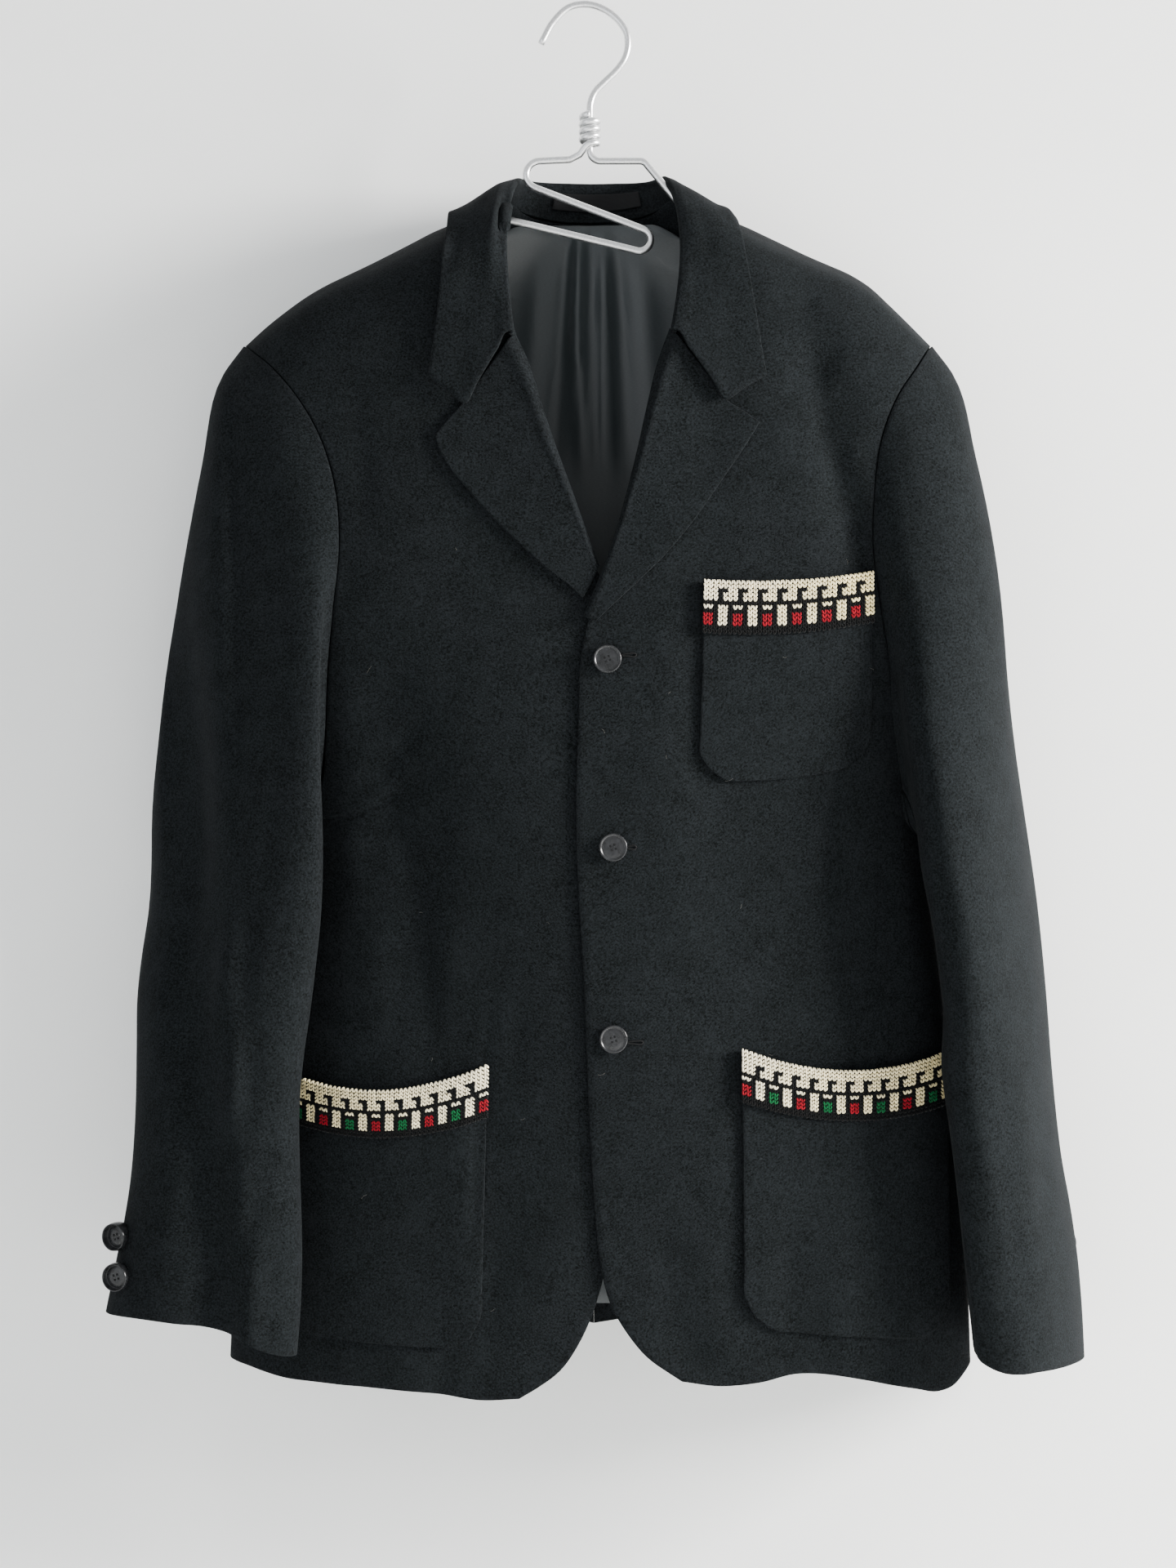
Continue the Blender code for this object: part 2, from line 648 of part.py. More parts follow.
def build_body():
    """Both fronts and both halves of the back."""
    every = slice(None)
    side_seam = (slice(0, len(BODY_ROWS)), -1, 1)
    front_shoulder = (-1, every, 1)
    back_shoulder = (-1, slice(BACK_NECK_STEPS, None), 1)
    centre_back = (every, 0, 0)
    for sign, name in ((-1, "right"), (1, "left")):
        front_seams = (front_shoulder, side_seam)
        back_seams = (centre_back, back_shoulder, side_seam)
        cloth(f"front_{name}", front_grid(sign), (0, -1, 0), WOOL, "black wool", front_seams)
        cloth(f"back_{name}", back_grid(sign), (0, 1, 0), WOOL, "black wool", back_seams)


# Sleeves


def armhole_loop(sign):
    """The armhole's points: down the front from the shoulder tip, and up the back."""
    side = "left" if sign > 0 else "right"
    drop = column(ARMHOLE, ARMHOLE_COLUMNS, "drop")[::-1]
    front_x = sign * column(ARMHOLE, ARMHOLE_COLUMNS, f"{side}_front")[::-1]
    back_x = sign * column(ARMHOLE, ARMHOLE_COLUMNS, f"{side}_back")[::-1]
    front = points(front_x, body_front(front_x, drop), drop)
    back = points(back_x, body_back(back_x, drop), drop)
    front[[0, -1], 1] = RIDGE_Y
    return np.concatenate([front, back[-2:0:-1]])


def fold_push(sign, degrees, share):
    """How far the lengthwise folds push the sleeve in, fading out towards the shoulder."""
    pushed = np.zeros_like(degrees)
    for turn_top, turn_low, spread, amount in FOLDS_LEFT if sign > 0 else FOLDS_RIGHT:
        away = degrees % 360 - (turn_top + (turn_low - turn_top) * np.clip(share, 0, 1))
        pushed = pushed + amount * np.exp(-((away / spread) ** 2))
    return pushed * smoothstep(-0.9, 0.0, share)


def sleeve_ring(sign, drop, angles):
    """Points round the sleeve at a drop: 0 degrees is its outer side and 90 its front."""
    table = SLEEVE_LEFT if sign > 0 else SLEEVE_RIGHT
    size = {name: from_table(table, SLEEVE_COLUMNS, "drop", name, drop) for name in SLEEVE_COLUMNS[1:]}
    turned = angles + np.radians(size["turn"])
    middle = (size["outer"] + size["inner"]) / 2
    half = (size["outer"] - size["inner"]) / 2
    cosine, sine = np.cos(turned), np.sin(turned)
    depth = np.where(sine > 0, size["front"], size["back"])
    share = (drop - table[0][0]) / (table[-1][0] - table[0][0])
    pushed = fold_push(sign, np.degrees(turned), share) * np.sign(sine)
    x = middle + half * cosine
    y = size["y"] + size["tilt"] * cosine - depth * sine + pushed
    return points(sign * x, y, np.broadcast_to(drop, y.shape))


def cuff_line(sign, angles):
    """Drop of the cuff's edge round the sleeve."""
    table = SLEEVE_LEFT if sign > 0 else SLEEVE_RIGHT
    turned = (np.degrees(angles) + table[-1][SLEEVE_COLUMNS.index("turn")]) % 360
    return from_table(CUFF_LEFT if sign > 0 else CUFF_RIGHT, CUFF_COLUMNS, "angle", "drop", turned)


def sleeve_grid(sign):
    """Points of a whole sleeve: rows down from the armhole, steps round it, the first repeated."""
    loop = armhole_loop(sign)
    around = len(loop)
    angles = np.arange(around) * 2 * math.pi / around
    table = SLEEVE_LEFT if sign > 0 else SLEEVE_RIGHT
    first_drop = float(table[0][0])
    first_turn = table[0][SLEEVE_COLUMNS.index("turn")]
    cuff_drop = cuff_line(sign, angles)
    ring = sleeve_ring(sign, np.full(around, first_drop), angles)
    beyond = sleeve_ring(sign, np.full(around, first_drop + 12), angles)
    low = np.sin(angles / 2) ** 2
    leave = np.stack([
        sign * CAP_REACH[sign] * (1 - 0.45 * low),
        -np.sin(angles) * CAP_FORWARD
        - UNDERARM_FORWARD * np.exp(-(((np.degrees(angles) - UNDERARM_ANGLE) / UNDERARM_SPREAD) ** 2)),
        -(CAP_DROP + CAP_FALL * np.abs(np.sin(angles))),
    ], axis=1)
    arrive = unit(beyond - ring) * ((first_drop + loop[:, 2]) * 1.05)[:, None]
    start = loop + unit(leave) * ARMHOLE_GAP
    start[:, 1] -= UNDERARM_CLEAR * np.exp(-(((np.degrees(angles) - UNDERARM_ANGLE) / UNDERARM_SPREAD) ** 2))
    rows = []
    shares = np.linspace(0, 1, CAP_ROWS + 1) ** 1.15
    for share in shares:
        row = hermite(start, leave, ring, arrive, share)
        folded = fold_push(sign, np.degrees(angles) + first_turn, np.full(around, share - 1))
        row[:, 1] += (folded * share * (1 - share) * 2) * np.sin(angles + math.radians(first_turn))
        rows.append(row)
    rows = list(fill_outline(np.array(rows), sign, shares))
    for share in np.linspace(0, 1, SLEEVE_ROWS + 1)[1:]:
        drop = first_drop + (cuff_drop - first_drop) * share
        rows.append(sleeve_ring(sign, drop, angles))
    grid = np.array(rows)
    return np.concatenate([grid, grid[:, :1]], axis=1)


def fill_outline(rows, sign, shares):
    """Move the outer side of the sleeve cap to the outline that it has from the front."""
    reach, drop = sign * rows[..., 0], -rows[..., 2]
    levels = np.linspace(drop.min(), drop.max(), 60)
    rails = [
        np.interp(levels, drop[:, rail], reach[:, rail], left=0, right=0) for rail in range(rows.shape[1])
    ]
    widest = np.max(rails, axis=0)
    outline = OUTLINE_LEFT if sign > 0 else OUTLINE_RIGHT
    short = from_table(outline, OUTLINE_COLUMNS, "drop", "reach", levels) - widest
    middle = shares * (1 - shares) * 4
    amount = np.interp(drop, levels, short) * np.minimum(middle * 1.6, 1)[:, None]
    weight = smoothstep(0, 1, (reach - OUTLINE_FROM) / (np.interp(drop, levels, widest) - OUTLINE_FROM))
    rows[..., 0] += sign * amount * weight
    return rows


def hermite(start, leave, end, arrive, share):
    """A point on the smooth curve from start to end with the given tangents."""
    square, cube = share**2, share**3
    return (
        start * (2 * cube - 3 * square + 1)
        + leave * (cube - 2 * square + share)
        + end * (3 * square - 2 * cube)
        + arrive * (cube - square)
    )


def loop_normals(grid, sign):
    """Outward normals of a tube whose last step repeats its first."""
    padded = np.concatenate([grid[:, -2:-1], grid, grid[:, 1:2]], axis=1)
    along = np.gradient(padded, axis=0)
    across = np.gradient(padded, axis=1)
    normal = np.cross(along, across)[:, 1:-1]
    normal /= np.maximum(np.linalg.norm(normal, axis=2, keepdims=True), 1e-9)
    for _ in range(2):
        normal[1:-1] = unit(normal[:-2] + 2 * normal[1:-1] + normal[2:])
    return normal if sign * normal[-1, 0, 0] > 0 else -normal


def build_sleeve(sign):
    """The top sleeve and the under sleeve of one side."""
    name = "left" if sign > 0 else "right"
    grid = sleeve_grid(sign)
    inner = grid - loop_normals(grid, sign) * WOOL
    around = grid.shape[1] - 1
    front, back = TOP_SLEEVE_FRONT_SEAM, TOP_SLEEVE_BACK_SEAM
    top = [step % around for step in range(back, around + front + 1)]
    under = list(range(front, back + 1))
    for piece, steps in (("top", top), ("under", under)):
        outer_part, inner_part = part_at_seams(grid[:, steps], inner[:, steps])
        vertices, faces = wall_between(outer_part, inner_part)
        add_mesh(f"sleeve_{piece}_{name}", vertices, faces, "black wool")


def part_at_seams(outer, inner):
    """Draw both long edges of a sleeve piece back by half the seam's gap."""
    outer, inner = outer.copy(), inner.copy()
    for grid in (outer, inner):
        for edge, beside in ((0, 1), (-1, -2)):
            way = grid[:, beside] - grid[:, edge]
            grid[:, edge] += way / np.linalg.norm(way, axis=1, keepdims=True) * SLEEVE_SEAM_GAP / 2
    return outer, inner


# Collar and lapels


def neck_seam(crest):
    """The neck seam under each collar station, on the body's inner side."""
    x, drop = crest[:, 0], -crest[:, 2]
    at_back = crest[:, 1] > RIDGE_Y
    seam = []
    for place in range(len(crest)):
        seam.append(neck_point_beside(x[place], crest[place, 1], drop[place], at_back[place]))
    return np.array(seam)


def neck_point_beside(x, y, drop, at_back):
    """The neck seam's point nearest to a crest point."""
    if at_back:
        seam_x = BODY_MIDDLE / 2 + (x - BODY_MIDDLE / 2) * 1.16
        reach = min(abs(seam_x), NECK_POINT)
        seam_drop = float(from_table(BACK_NECK, BACK_NECK_COLUMNS, "reach", "drop", reach))
        seam_y = float(body_back(seam_x, seam_drop)) - WOOL
        return seam_x, seam_y, -(seam_drop - 1.0)
    edge = EDGE_LEFT if x > 0 else EDGE_RIGHT
    sign = 1 if x > 0 else -1
    seam_drop = max(drop, 124.5)
    seam_x = float(from_table(edge, EDGE_COLUMNS, "drop", "x", seam_drop)) - sign * (WOOL + 1.9)
    seam_y = float(body_front(seam_x, seam_drop)) + WOOL
    return seam_x, seam_y, -seam_drop


def collar_rows():
    """Crest and fall edge at each station, from the right gorge to the left one."""
    along = np.arange(len(COLLAR))
    at = np.linspace(0, len(COLLAR) - 1, COLLAR_STATIONS)
    value = {name: through(along, column(COLLAR, COLLAR_COLUMNS, name), at) for name in COLLAR_COLUMNS}
    crest = points(value["crest_x"], value["crest_y"], value["crest_drop"])
    edge = points(value["edge_x"], value["edge_y"], value["edge_drop"])
    return crest, edge


def collar_grid(stand_steps=3, turn_steps=4, fall_steps=6):
    """Outer points of the collar: up the stand, over the crest and down the fall."""
    crest, edge = collar_rows()
    seam = neck_seam(crest)
    along = unit(np.gradient(crest, axis=0))
    tip = crest - (seam + edge) / 2
    tip = unit(tip - along * np.sum(tip * along, axis=1, keepdims=True))
    out = np.cross(along, tip)
    out *= np.sign(np.sum(out * (edge - seam), axis=1, keepdims=True))
    heart = crest - tip * COLLAR_TURN
    rows = []
    for step in range(stand_steps):
        share = step / stand_steps
        rows.append(seam + (heart - out * COLLAR_TURN - seam) * share)
    for step in range(turn_steps + 1):
        angle = math.pi * step / turn_steps
        rows.append(heart + tip * COLLAR_TURN * math.sin(angle) - out * COLLAR_TURN * math.cos(angle))
    start = heart + out * COLLAR_TURN
    for step in range(1, fall_steps + 1):
        share = step / fall_steps
        bulge = COLLAR_BULGE * math.sin(math.pi * share)
        rows.append(start + (edge - start) * share + out * bulge)
    grid = np.array(rows).transpose(1, 0, 2)
    grid = shape_gorge(grid, stand_steps + turn_steps)
    return clear_of_body(grid, stand_steps + turn_steps + 1)


def shape_gorge(grid, first_fall):
    """Draw the collar's two ends down to the gorge seam and the notch."""
    fall = np.linspace(0, 1, grid.shape[1] - first_fall)
    corner = fall[COLLAR_NOTCH_STEP]
    shape = np.where(fall <= corner, fall / corner, (1 - fall) / (1 - corner))
    for end, (notch_x, notch_drop) in zip((0, -1), COLLAR_NOTCH):
        line = grid[end, first_fall + COLLAR_NOTCH_STEP].copy()
        shift = -notch_drop - line[2]
        side = notch_x - line[0]
        for place, share in enumerate((1.0, 0.45, 0.12)):
            at = place if end == 0 else -1 - place
            grid[at, first_fall:, 2] += shift * shape * share
            grid[at, first_fall:, 0] += side * shape * share
    return grid


def clear_of_body(grid, first_fall):
    """Keep the fall above the fronts, the shoulders and the back."""
    fall = grid[:, first_fall:]
    x, y, drop = fall[..., 0], fall[..., 1], -fall[..., 2]
    ridge = ridge_drop(x) - COLLAR_CLEAR - 1.1
    near = np.clip(1 - np.abs(y - RIDGE_Y) / 30, 0, 1)
    before = np.minimum(y, left_front(x, drop + 3 * near) - COLLAR_CLEAR)
    behind = np.maximum(y, body_back(x, drop + 3 * near) + COLLAR_CLEAR)
    fall[..., 1] = np.where(y < RIDGE_Y - 1, before, np.where(y > RIDGE_Y + 1, behind, y))
    fall[..., 2] = np.where(np.abs(y - RIDGE_Y) < 14, np.maximum(-drop, -ridge), -drop)
    grid[:, first_fall:] = fall
    return grid


def lapel_grid(sign):
    """Outer points of a lapel, from the roll line to its edge."""
    table = LAPEL_LEFT if sign > 0 else LAPEL_RIGHT
    notch_x, notch_drop = LAPEL_NOTCH_LEFT if sign > 0 else LAPEL_NOTCH_RIGHT
    along = np.arange(len(table))
    at = np.linspace(0, len(table) - 1, LAPEL_ROWS)
    value = {name: through(along, column(table, LAPEL_COLUMNS, name), at) for name in LAPEL_COLUMNS}
    share = np.linspace(0, 1, LAPEL_STEPS + 1)[None, :] ** 1.25
    roll_x, edge_x = value["roll_x"][:, None], value["edge_x"][:, None]
    roll_drop, edge_drop = value["roll_drop"][:, None], value["edge_drop"][:, None]
    x = roll_x + (edge_x - roll_x) * share
    bow = LAPEL_BOW * smoothstep(0, 3, at)[:, None]
    drop = roll_drop + (edge_drop - roll_drop) * share + bow * np.sin(math.pi * share)
    corner = share[0, LAPEL_NOTCH_STEP]
    shape = np.where(share <= corner, share / corner, (1 - share) / (1 - corner))
    corner_x = roll_x[0] + (edge_x[0] - roll_x[0]) * corner
    corner_drop = roll_drop[0] + (edge_drop[0] - roll_drop[0]) * corner
    for row, amount in enumerate((1.0, 0.4, 0.1)):
        x[row] += (notch_x - corner_x) * shape[0] * amount
        drop[row] += (notch_drop - corner_drop) * shape[0] * amount
    surface = left_front if sign > 0 else body_front
    width = np.hypot(x - roll_x, drop - roll_drop)
    curl = np.sqrt(np.clip(1 - (1 - np.clip(width / LAPEL_TURN, 0, 1)) ** 2, 0, 1))
    spring = LAPEL_SPRING * np.exp(-width / 22) * smoothstep(len(table) - 1, 2, at)[:, None]
    lift = (LAPEL_LIFT + spring) * curl
    return raised(points(x, surface(x, drop), drop), lift)


def build_collar():
    """The collar, its label and both lapels."""
    grid = collar_grid()
    normal = grid_normals(grid, (0, 0, 1))
    if normal[len(grid) // 2, -2, 1] < 0:
        normal = -normal
    vertices, faces = wall_between(grid, grid - normal * WOOL)
    add_mesh("collar", vertices, faces, "black wool")
    build_label()
    cloth("lapel_right", lapel_grid(-1), (0, -1, 0), WOOL, "black wool")
    cloth("lapel_left", lapel_grid(1), (0, -1, 0), WOOL, "black wool")


def build_label():
    """A plain woven label on the collar stand, made from the stand's points."""
    crest, edge = collar_rows()
    seam = neck_seam(crest)
    stations = np.linspace(0, len(crest) - 1, len(crest))
    first, last = (share * (len(crest) - 1) for share in LABEL_STATIONS)
    rows = []
    for at in np.linspace(first, last, 5):
        foot = np.array([np.interp(at, stations, seam[:, axis]) for axis in range(3)])
        top = np.array([np.interp(at, stations, crest[:, axis]) for axis in range(3)])
        top[1] -= COLLAR_TURN
        rows.append([foot + (top - foot) * share for share in np.linspace(LABEL_LOW, LABEL_HIGH, 3)])
    grid = np.array(rows)
    grid[:, :, 1] -= LAYER_GAP + LABEL_CLOTH
    cloth("neck_label", grid, (0, -1, 0), LABEL_CLOTH, "woven label")


# Lining


def build_lining():
    """The back lining, with a soft pleat down its middle."""
    share = np.linspace(-1, 1, LINING_STEPS + 1)[None, :]
    place = np.linspace(0, 1, LINING_ROWS + 1)[:, None]
    drop = LINING_TOP + (LINING_LOW - LINING_TOP) * place
    left = from_table(BODY, BODY_COLUMNS, "drop", "left", drop) - BODY_MIDDLE
    right = from_table(BODY, BODY_COLUMNS, "drop", "right", drop) + BODY_MIDDLE
    narrow = 0.24 + (LINING_REACH - 0.24) * smoothstep(LINING_TOP - 20, LINING_TOP + 150, drop)
    x = BODY_MIDDLE + share * np.where(share > 0, left, right) * narrow
    drop = np.maximum(drop * np.ones_like(x), ridge_drop(x) + LINING_BELOW_RIDGE)
    fade = smoothstep(LINING_TOP, LINING_TOP + 40, drop)
    pleat = PLEAT_DEPTH * fade * np.exp(-(((x - PLEAT_X) / PLEAT_SPREAD) ** 2))
    grid = points(x, body_back(x, drop), drop)
    near_ridge = 1 - smoothstep(0, 60, drop - ridge_drop(x) - LINING_BELOW_RIDGE)
    clear = LINING_CLEAR * near_ridge * smoothstep(20, 45, np.abs(x))
    lift = WOOL + LINING_CLOTH + LINING_GAP + pleat + clear
    grid = grid + grid_normals(grid, (0, -1, 0)) * lift[..., None]
    cloth("back_lining", grid, (0, -1, 0), LINING_CLOTH, "lining satin")


# Pockets


def pocket_shape(name, steps, rows, depth_share=None):
    """x and drop over a pocket, with round lower corners."""
    size = dict(zip(POCKET_COLUMNS, POCKETS[name]))
    across = np.linspace(0, 1, steps + 1)[None, :]
    if depth_share is None:
        down = np.linspace(0, 1, rows + 1)[:, None] ** 0.9
    else:
        down = np.linspace(0, depth_share, rows + 1)[:, None]
    top = size["top_near"] + (size["top_far"] - size["top_near"]) * across
    top = top + size["sag"] * 4 * across * (1 - across)
    low = size["low_near"] + (size["low_far"] - size["low_near"]) * across
    low = low + size["bow"] * 4 * across * (1 - across)
    drop = top + (low - top) * down
    near = size["near_top"] + (size["near_low"] - size["near_top"]) * down
    width = size["far"] - near
    radius = size["corner"]
    above_low = np.clip((low - top) * (1 - down), 0, None)
    x = near + width * across
    corner = 1 - math.cos(math.pi / 4)
    reach = radius * math.sin(math.pi / 4)
    run = np.clip(1 - above_low / reach, 0, 1)
    inset = (radius - np.sqrt(np.clip(radius**2 - (reach * run) ** 2, 0, None))) * np.sign(width)
    x = x + inset * (1 - 2 * across)
    across_run = np.clip(1 - np.abs(width) * np.minimum(across, 1 - across) / reach, 0, 1)
    rise = radius - np.sqrt(np.clip(radius**2 - (reach * across_run) ** 2, 0, None))
    drop = drop - rise * np.clip(down, 0, 1) ** 6
    return x, drop, across, down


def pocket_lift(name, across, down):
    """How far the pocket stands off the front: more at the middle of its top."""
    gape = POCKETS[name][POCKET_COLUMNS.index("gape")]
    return gape * 4 * across * (1 - across) * np.clip(1 - down / 0.55, 0, 1) ** 1.5


def front_under(name):
    """The front that the pocket lies on."""
    return body_front if name.endswith("right") else left_front


def build_pocket(name):
    """One patch pocket and its knit band."""
    surface = front_under(name)
    x, drop, across, down = pocket_shape(name, POCKET_STEPS, POCKET_ROWS)
    lift = POCKET_GAP + POCKET_CLOTH + pocket_lift(name, across, down)
    pocket = raised(points(x, surface(x, drop), drop), lift)
    cloth(name, pocket, (0, -1, 0), POCKET_CLOTH, "black wool")
    size = dict(zip(POCKET_COLUMNS, POCKETS[name]))
    share = BAND_HEIGHT / (size["low_near"] - size["top_near"])
    x, drop, across, down = pocket_shape(name, POCKET_STEPS + 3, BAND_ROWS, share)
    side = np.sign(size["far"] - size["near_top"])
    x = x + side * BAND_OVERHANG * (2 * across - 1)
    drop = drop - BAND_OVERHANG * (1 - down / share)
    lift = POCKET_GAP + POCKET_CLOTH + pocket_lift(name, across, down) + BAND_GAP + KNIT_CLOTH
    band = raised(points(x, surface(x, drop), drop), lift)
    cloth(name.replace("pocket", "knit_band"), band, (0, -1, 0), KNIT_CLOTH, "knit wool")


# Buttons


def button_mesh():
    """A four-hole button with a raised rim, its face along +Z."""
    dish = BUTTON_THICK - BUTTON_DISH
    profile = (
        (0.0, 0.0),
        (BUTTON_RADIUS - 2.2, 0.0),
        (BUTTON_RADIUS, 1.6),
        (BUTTON_RADIUS - 0.4, BUTTON_THICK - 0.3),
        (BUTTON_RADIUS - BUTTON_RIM, BUTTON_THICK),
        (BUTTON_RADIUS - BUTTON_RIM - 1.3, dish),
        (0.0, dish),
    )
    mesh = bpy.data.meshes.new("button_profile")
    edges = [(step, step + 1) for step in range(len(profile) - 1)]
    mesh.from_pydata([(radius * MM, 0, height * MM) for radius, height in profile], edges, [])
    body = bpy.data.objects.new("button_pattern", mesh)
    CUTTERS.objects.link(body)
    spin = body.modifiers.new("Screw", "SCREW")
    spin.steps = spin.render_steps = BUTTON_SIDES
    spin.use_merge_vertices = True
    spin.merge_threshold = 0.00001
    spin.use_normal_calculate = True
    cutter = holes_cutter()
    cut = body.modifiers.new("Holes", "BOOLEAN")
    cut.operation = "DIFFERENCE"
    cut.solver = "EXACT"
    cut.object = cutter
    bpy.context.view_layer.update()
    graph = bpy.context.evaluated_depsgraph_get()
    made = bpy.data.meshes.new_from_object(body.evaluated_get(graph))
    bpy.data.objects.remove(body, do_unlink=True)
    made.name = "four_hole_button"
    made.shade_smooth()
    made.set_sharp_from_angle(angle=math.radians(40))
    return made


def holes_cutter():
    """Four round bars that cut the thread holes."""
    shape = bmesh.new()
    for x in (-1, 1):
        for y in (-1, 1):
            place = Matrix.Translation(Vector((x, y, 0)) * BUTTON_HOLE_REACH * MM)
            bmesh.ops.create_cone(
                shape, cap_ends=True, segments=BUTTON_HOLE_SIDES, radius1=BUTTON_HOLE * MM,
                radius2=BUTTON_HOLE * MM, depth=BUTTON_THICK * 4 * MM, matrix=place,
            )
    mesh = bpy.data.meshes.new("button_holes")
    shape.to_mesh(mesh)
    shape.free()
    cutter = bpy.data.objects.new("button_holes", mesh)
    cutter.hide_render = True
    cutter.display_type = "WIRE"
    CUTTERS.objects.link(cutter)
    return cutter


def place_button(name, mesh, seat, facing, turn):
    """A button on its seat, its face turned to facing."""
    own = mesh.copy()
    own.materials.clear()
    own.materials.append(material_for(name, "polished horn"))
    node = bpy.data.objects.new(name, own)
    facing = Vector(facing).normalized()
    turned = facing.to_track_quat("Z", "Y").to_matrix().to_4x4()
    spin = Matrix.Rotation(math.radians(turn), 4, "Z")
    place = Matrix.Translation((Vector(seat) + facing * BUTTON_SHANK) * MM)
    node.matrix_world = place @ turned @ spin
    PARTS.objects.link(node)
    return node


def surface_normal(surface, x, drop):
    """Outward normal of a front surface."""
    step = 1.0
    slope_x = (surface(x + step, drop) - surface(x - step, drop)) / (2 * step)
    slope_z = -(surface(x, drop + step) - surface(x, drop - step)) / (2 * step)
    return Vector((float(slope_x), -1.0, float(slope_z))).normalized()


def build_buttons():
    """Three buttons down the front and two on each cuff."""
    mesh = button_mesh()
    for number, (x, drop, turn) in enumerate(FRONT_BUTTONS, 1):
        seat = (x, float(left_front(x, drop)), -drop)
        place_button(f"front_button_{number}", mesh, seat, surface_normal(left_front, x, drop), turn)
    for sign, name, row in ((-1, "right", CUFF_BUTTONS_RIGHT), (1, "left", CUFF_BUTTONS_LEFT)):
        for number, (drop, angle, shank) in enumerate(row, 1):
            seat, normal = sleeve_seat(sign, drop, angle)
            seat = Vector(seat) + normal * shank
            place_button(f"cuff_button_{name}_{number}", mesh, seat, normal, 25 * number)


def sleeve_seat(sign, drop, turn):
    """A place on a sleeve's outer side and its outward normal."""
    table = SLEEVE_LEFT if sign > 0 else SLEEVE_RIGHT
    twist = float(from_table(table, SLEEVE_COLUMNS, "drop", "turn", drop))
    angles = np.radians(np.array([turn - 4, turn, turn + 4]) - twist)
    ring = sleeve_ring(sign, np.full(3, float(drop)), angles)
    way = ring[2] - ring[0]
    normal = Vector((way[1], -way[0], 0)).normalized()
    cuff = dict(zip(SLEEVE_COLUMNS, table[-1]))
    middle = sign * (cuff["outer"] + cuff["inner"]) / 2
    if normal.x * (ring[1][0] - middle) < 0:
        normal = -normal
    return ring[1], normal


# Hanger


def wire(name, route):
    """A round wire along a route of points in millimetres."""
    curve = bpy.data.curves.new(name, "CURVE")
    curve.dimensions = "3D"
    curve.bevel_depth = WIRE_RADIUS * MM
    curve.bevel_resolution = 2
    curve.use_fill_caps = True
    spline = curve.splines.new("POLY")
    spline.points.add(len(route) - 1)
    for point, place in zip(spline.points, route):
        point.co = (*(value * MM for value in place), 1)
    spline.use_smooth = True
    curve.materials.append(material_for(name, "satin aluminium"))
    node = bpy.data.objects.new(name, curve)
    PARTS.objects.link(node)
    return node


def smooth_route(points_through, steps):
    """A smooth route through the given points."""
    route = np.array(points_through, float)
    length = np.concatenate([[0], np.cumsum(np.linalg.norm(np.diff(route, axis=0), axis=1))])
    at = np.linspace(0, length[-1], steps)
    return np.stack([through(length, route[:, axis], at) for axis in range(3)], axis=1)


def shoulder_arm(sign, reaches):
    """The hidden arm, which follows the shoulder a little below its ridge."""
    drops = [float(ridge_drop(sign * reach)) + ARM_BELOW_RIDGE for reach in reaches]
    return [(sign * reach, RIDGE_Y, -drop) for reach, drop in zip(reaches, drops)]


def u_turn(x, z, radius, start, end, steps=6):
    """Points round a turn in the hanger's plane, angles in degrees."""
    turned = []
    for step in range(steps + 1):
        angle = math.radians(start + (end - start) * step / steps)
        turned.append((x + radius * math.cos(angle), 0, z + radius * math.sin(angle)))
    return turned


def build_hanger():
    """The hook with its right-hand arm, and the wire wound round the hook's neck."""
    hook = [(x, 0, z) for x, z in HOOK_POINTS]
    leg = [(x, 0, z) for x, z in RIGHT_LEG_POINTS]
    wire("hanger_hook", smooth_route(hook + leg + shoulder_arm(1, ARM_REACHES), 54))
    centre_x = HOOK_POINTS[-1][0]
    radius = WIRE_RADIUS * 2 + SEAM_GAP + 0.3
    coil = []
    for step in range(COIL_TURNS * COIL_STEPS + 1):
        angle = 2 * math.pi * step / COIL_STEPS + math.pi / 2
        height = COIL_TOP - WIRE_RADIUS - COIL_PITCH * step / COIL_STEPS
        coil.append((centre_x + radius * math.cos(angle), -radius * math.sin(angle), height))
    start = [(x, -radius * (1 - share), z) for share, (x, z) in zip((0.15, 0.5, 0.85, 1.0), LEFT_ARM_START)]
    turns = u_turn(*LEFT_U_TURN) + u_turn(*RIGHT_U_TURN)
    arm = shoulder_arm(-1, ARM_REACHES)
    rest = smooth_route([coil[-1]] + start + turns + arm, 66)
    wire("hanger_frame", coil + [tuple(point) for point in rest[1:]])


clear_scene()
PARTS = new_collection("jacket")
CUTTERS = new_collection("cutters")
CUTTERS.hide_render = True
build_body()
build_sleeve(-1)
build_sleeve(1)
build_collar()
build_lining()
for pocket in POCKETS:
    build_pocket(pocket)
build_buttons()
build_hanger()
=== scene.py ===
# %% [markdown]
# # A black wool jacket on a bent wire hanger
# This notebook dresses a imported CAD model. The jacket's pieces of cloth are rebuilt as thin, soft
# shells on the CAD solids' own form, with their creases, stitches and materials.
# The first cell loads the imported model. It never changes: every new piece is fitted to it.

# %%
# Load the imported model
import json
import math

import bmesh
import bpy
import numpy as np
from mathutils import Matrix, Vector
from mathutils.bvhtree import BVHTree

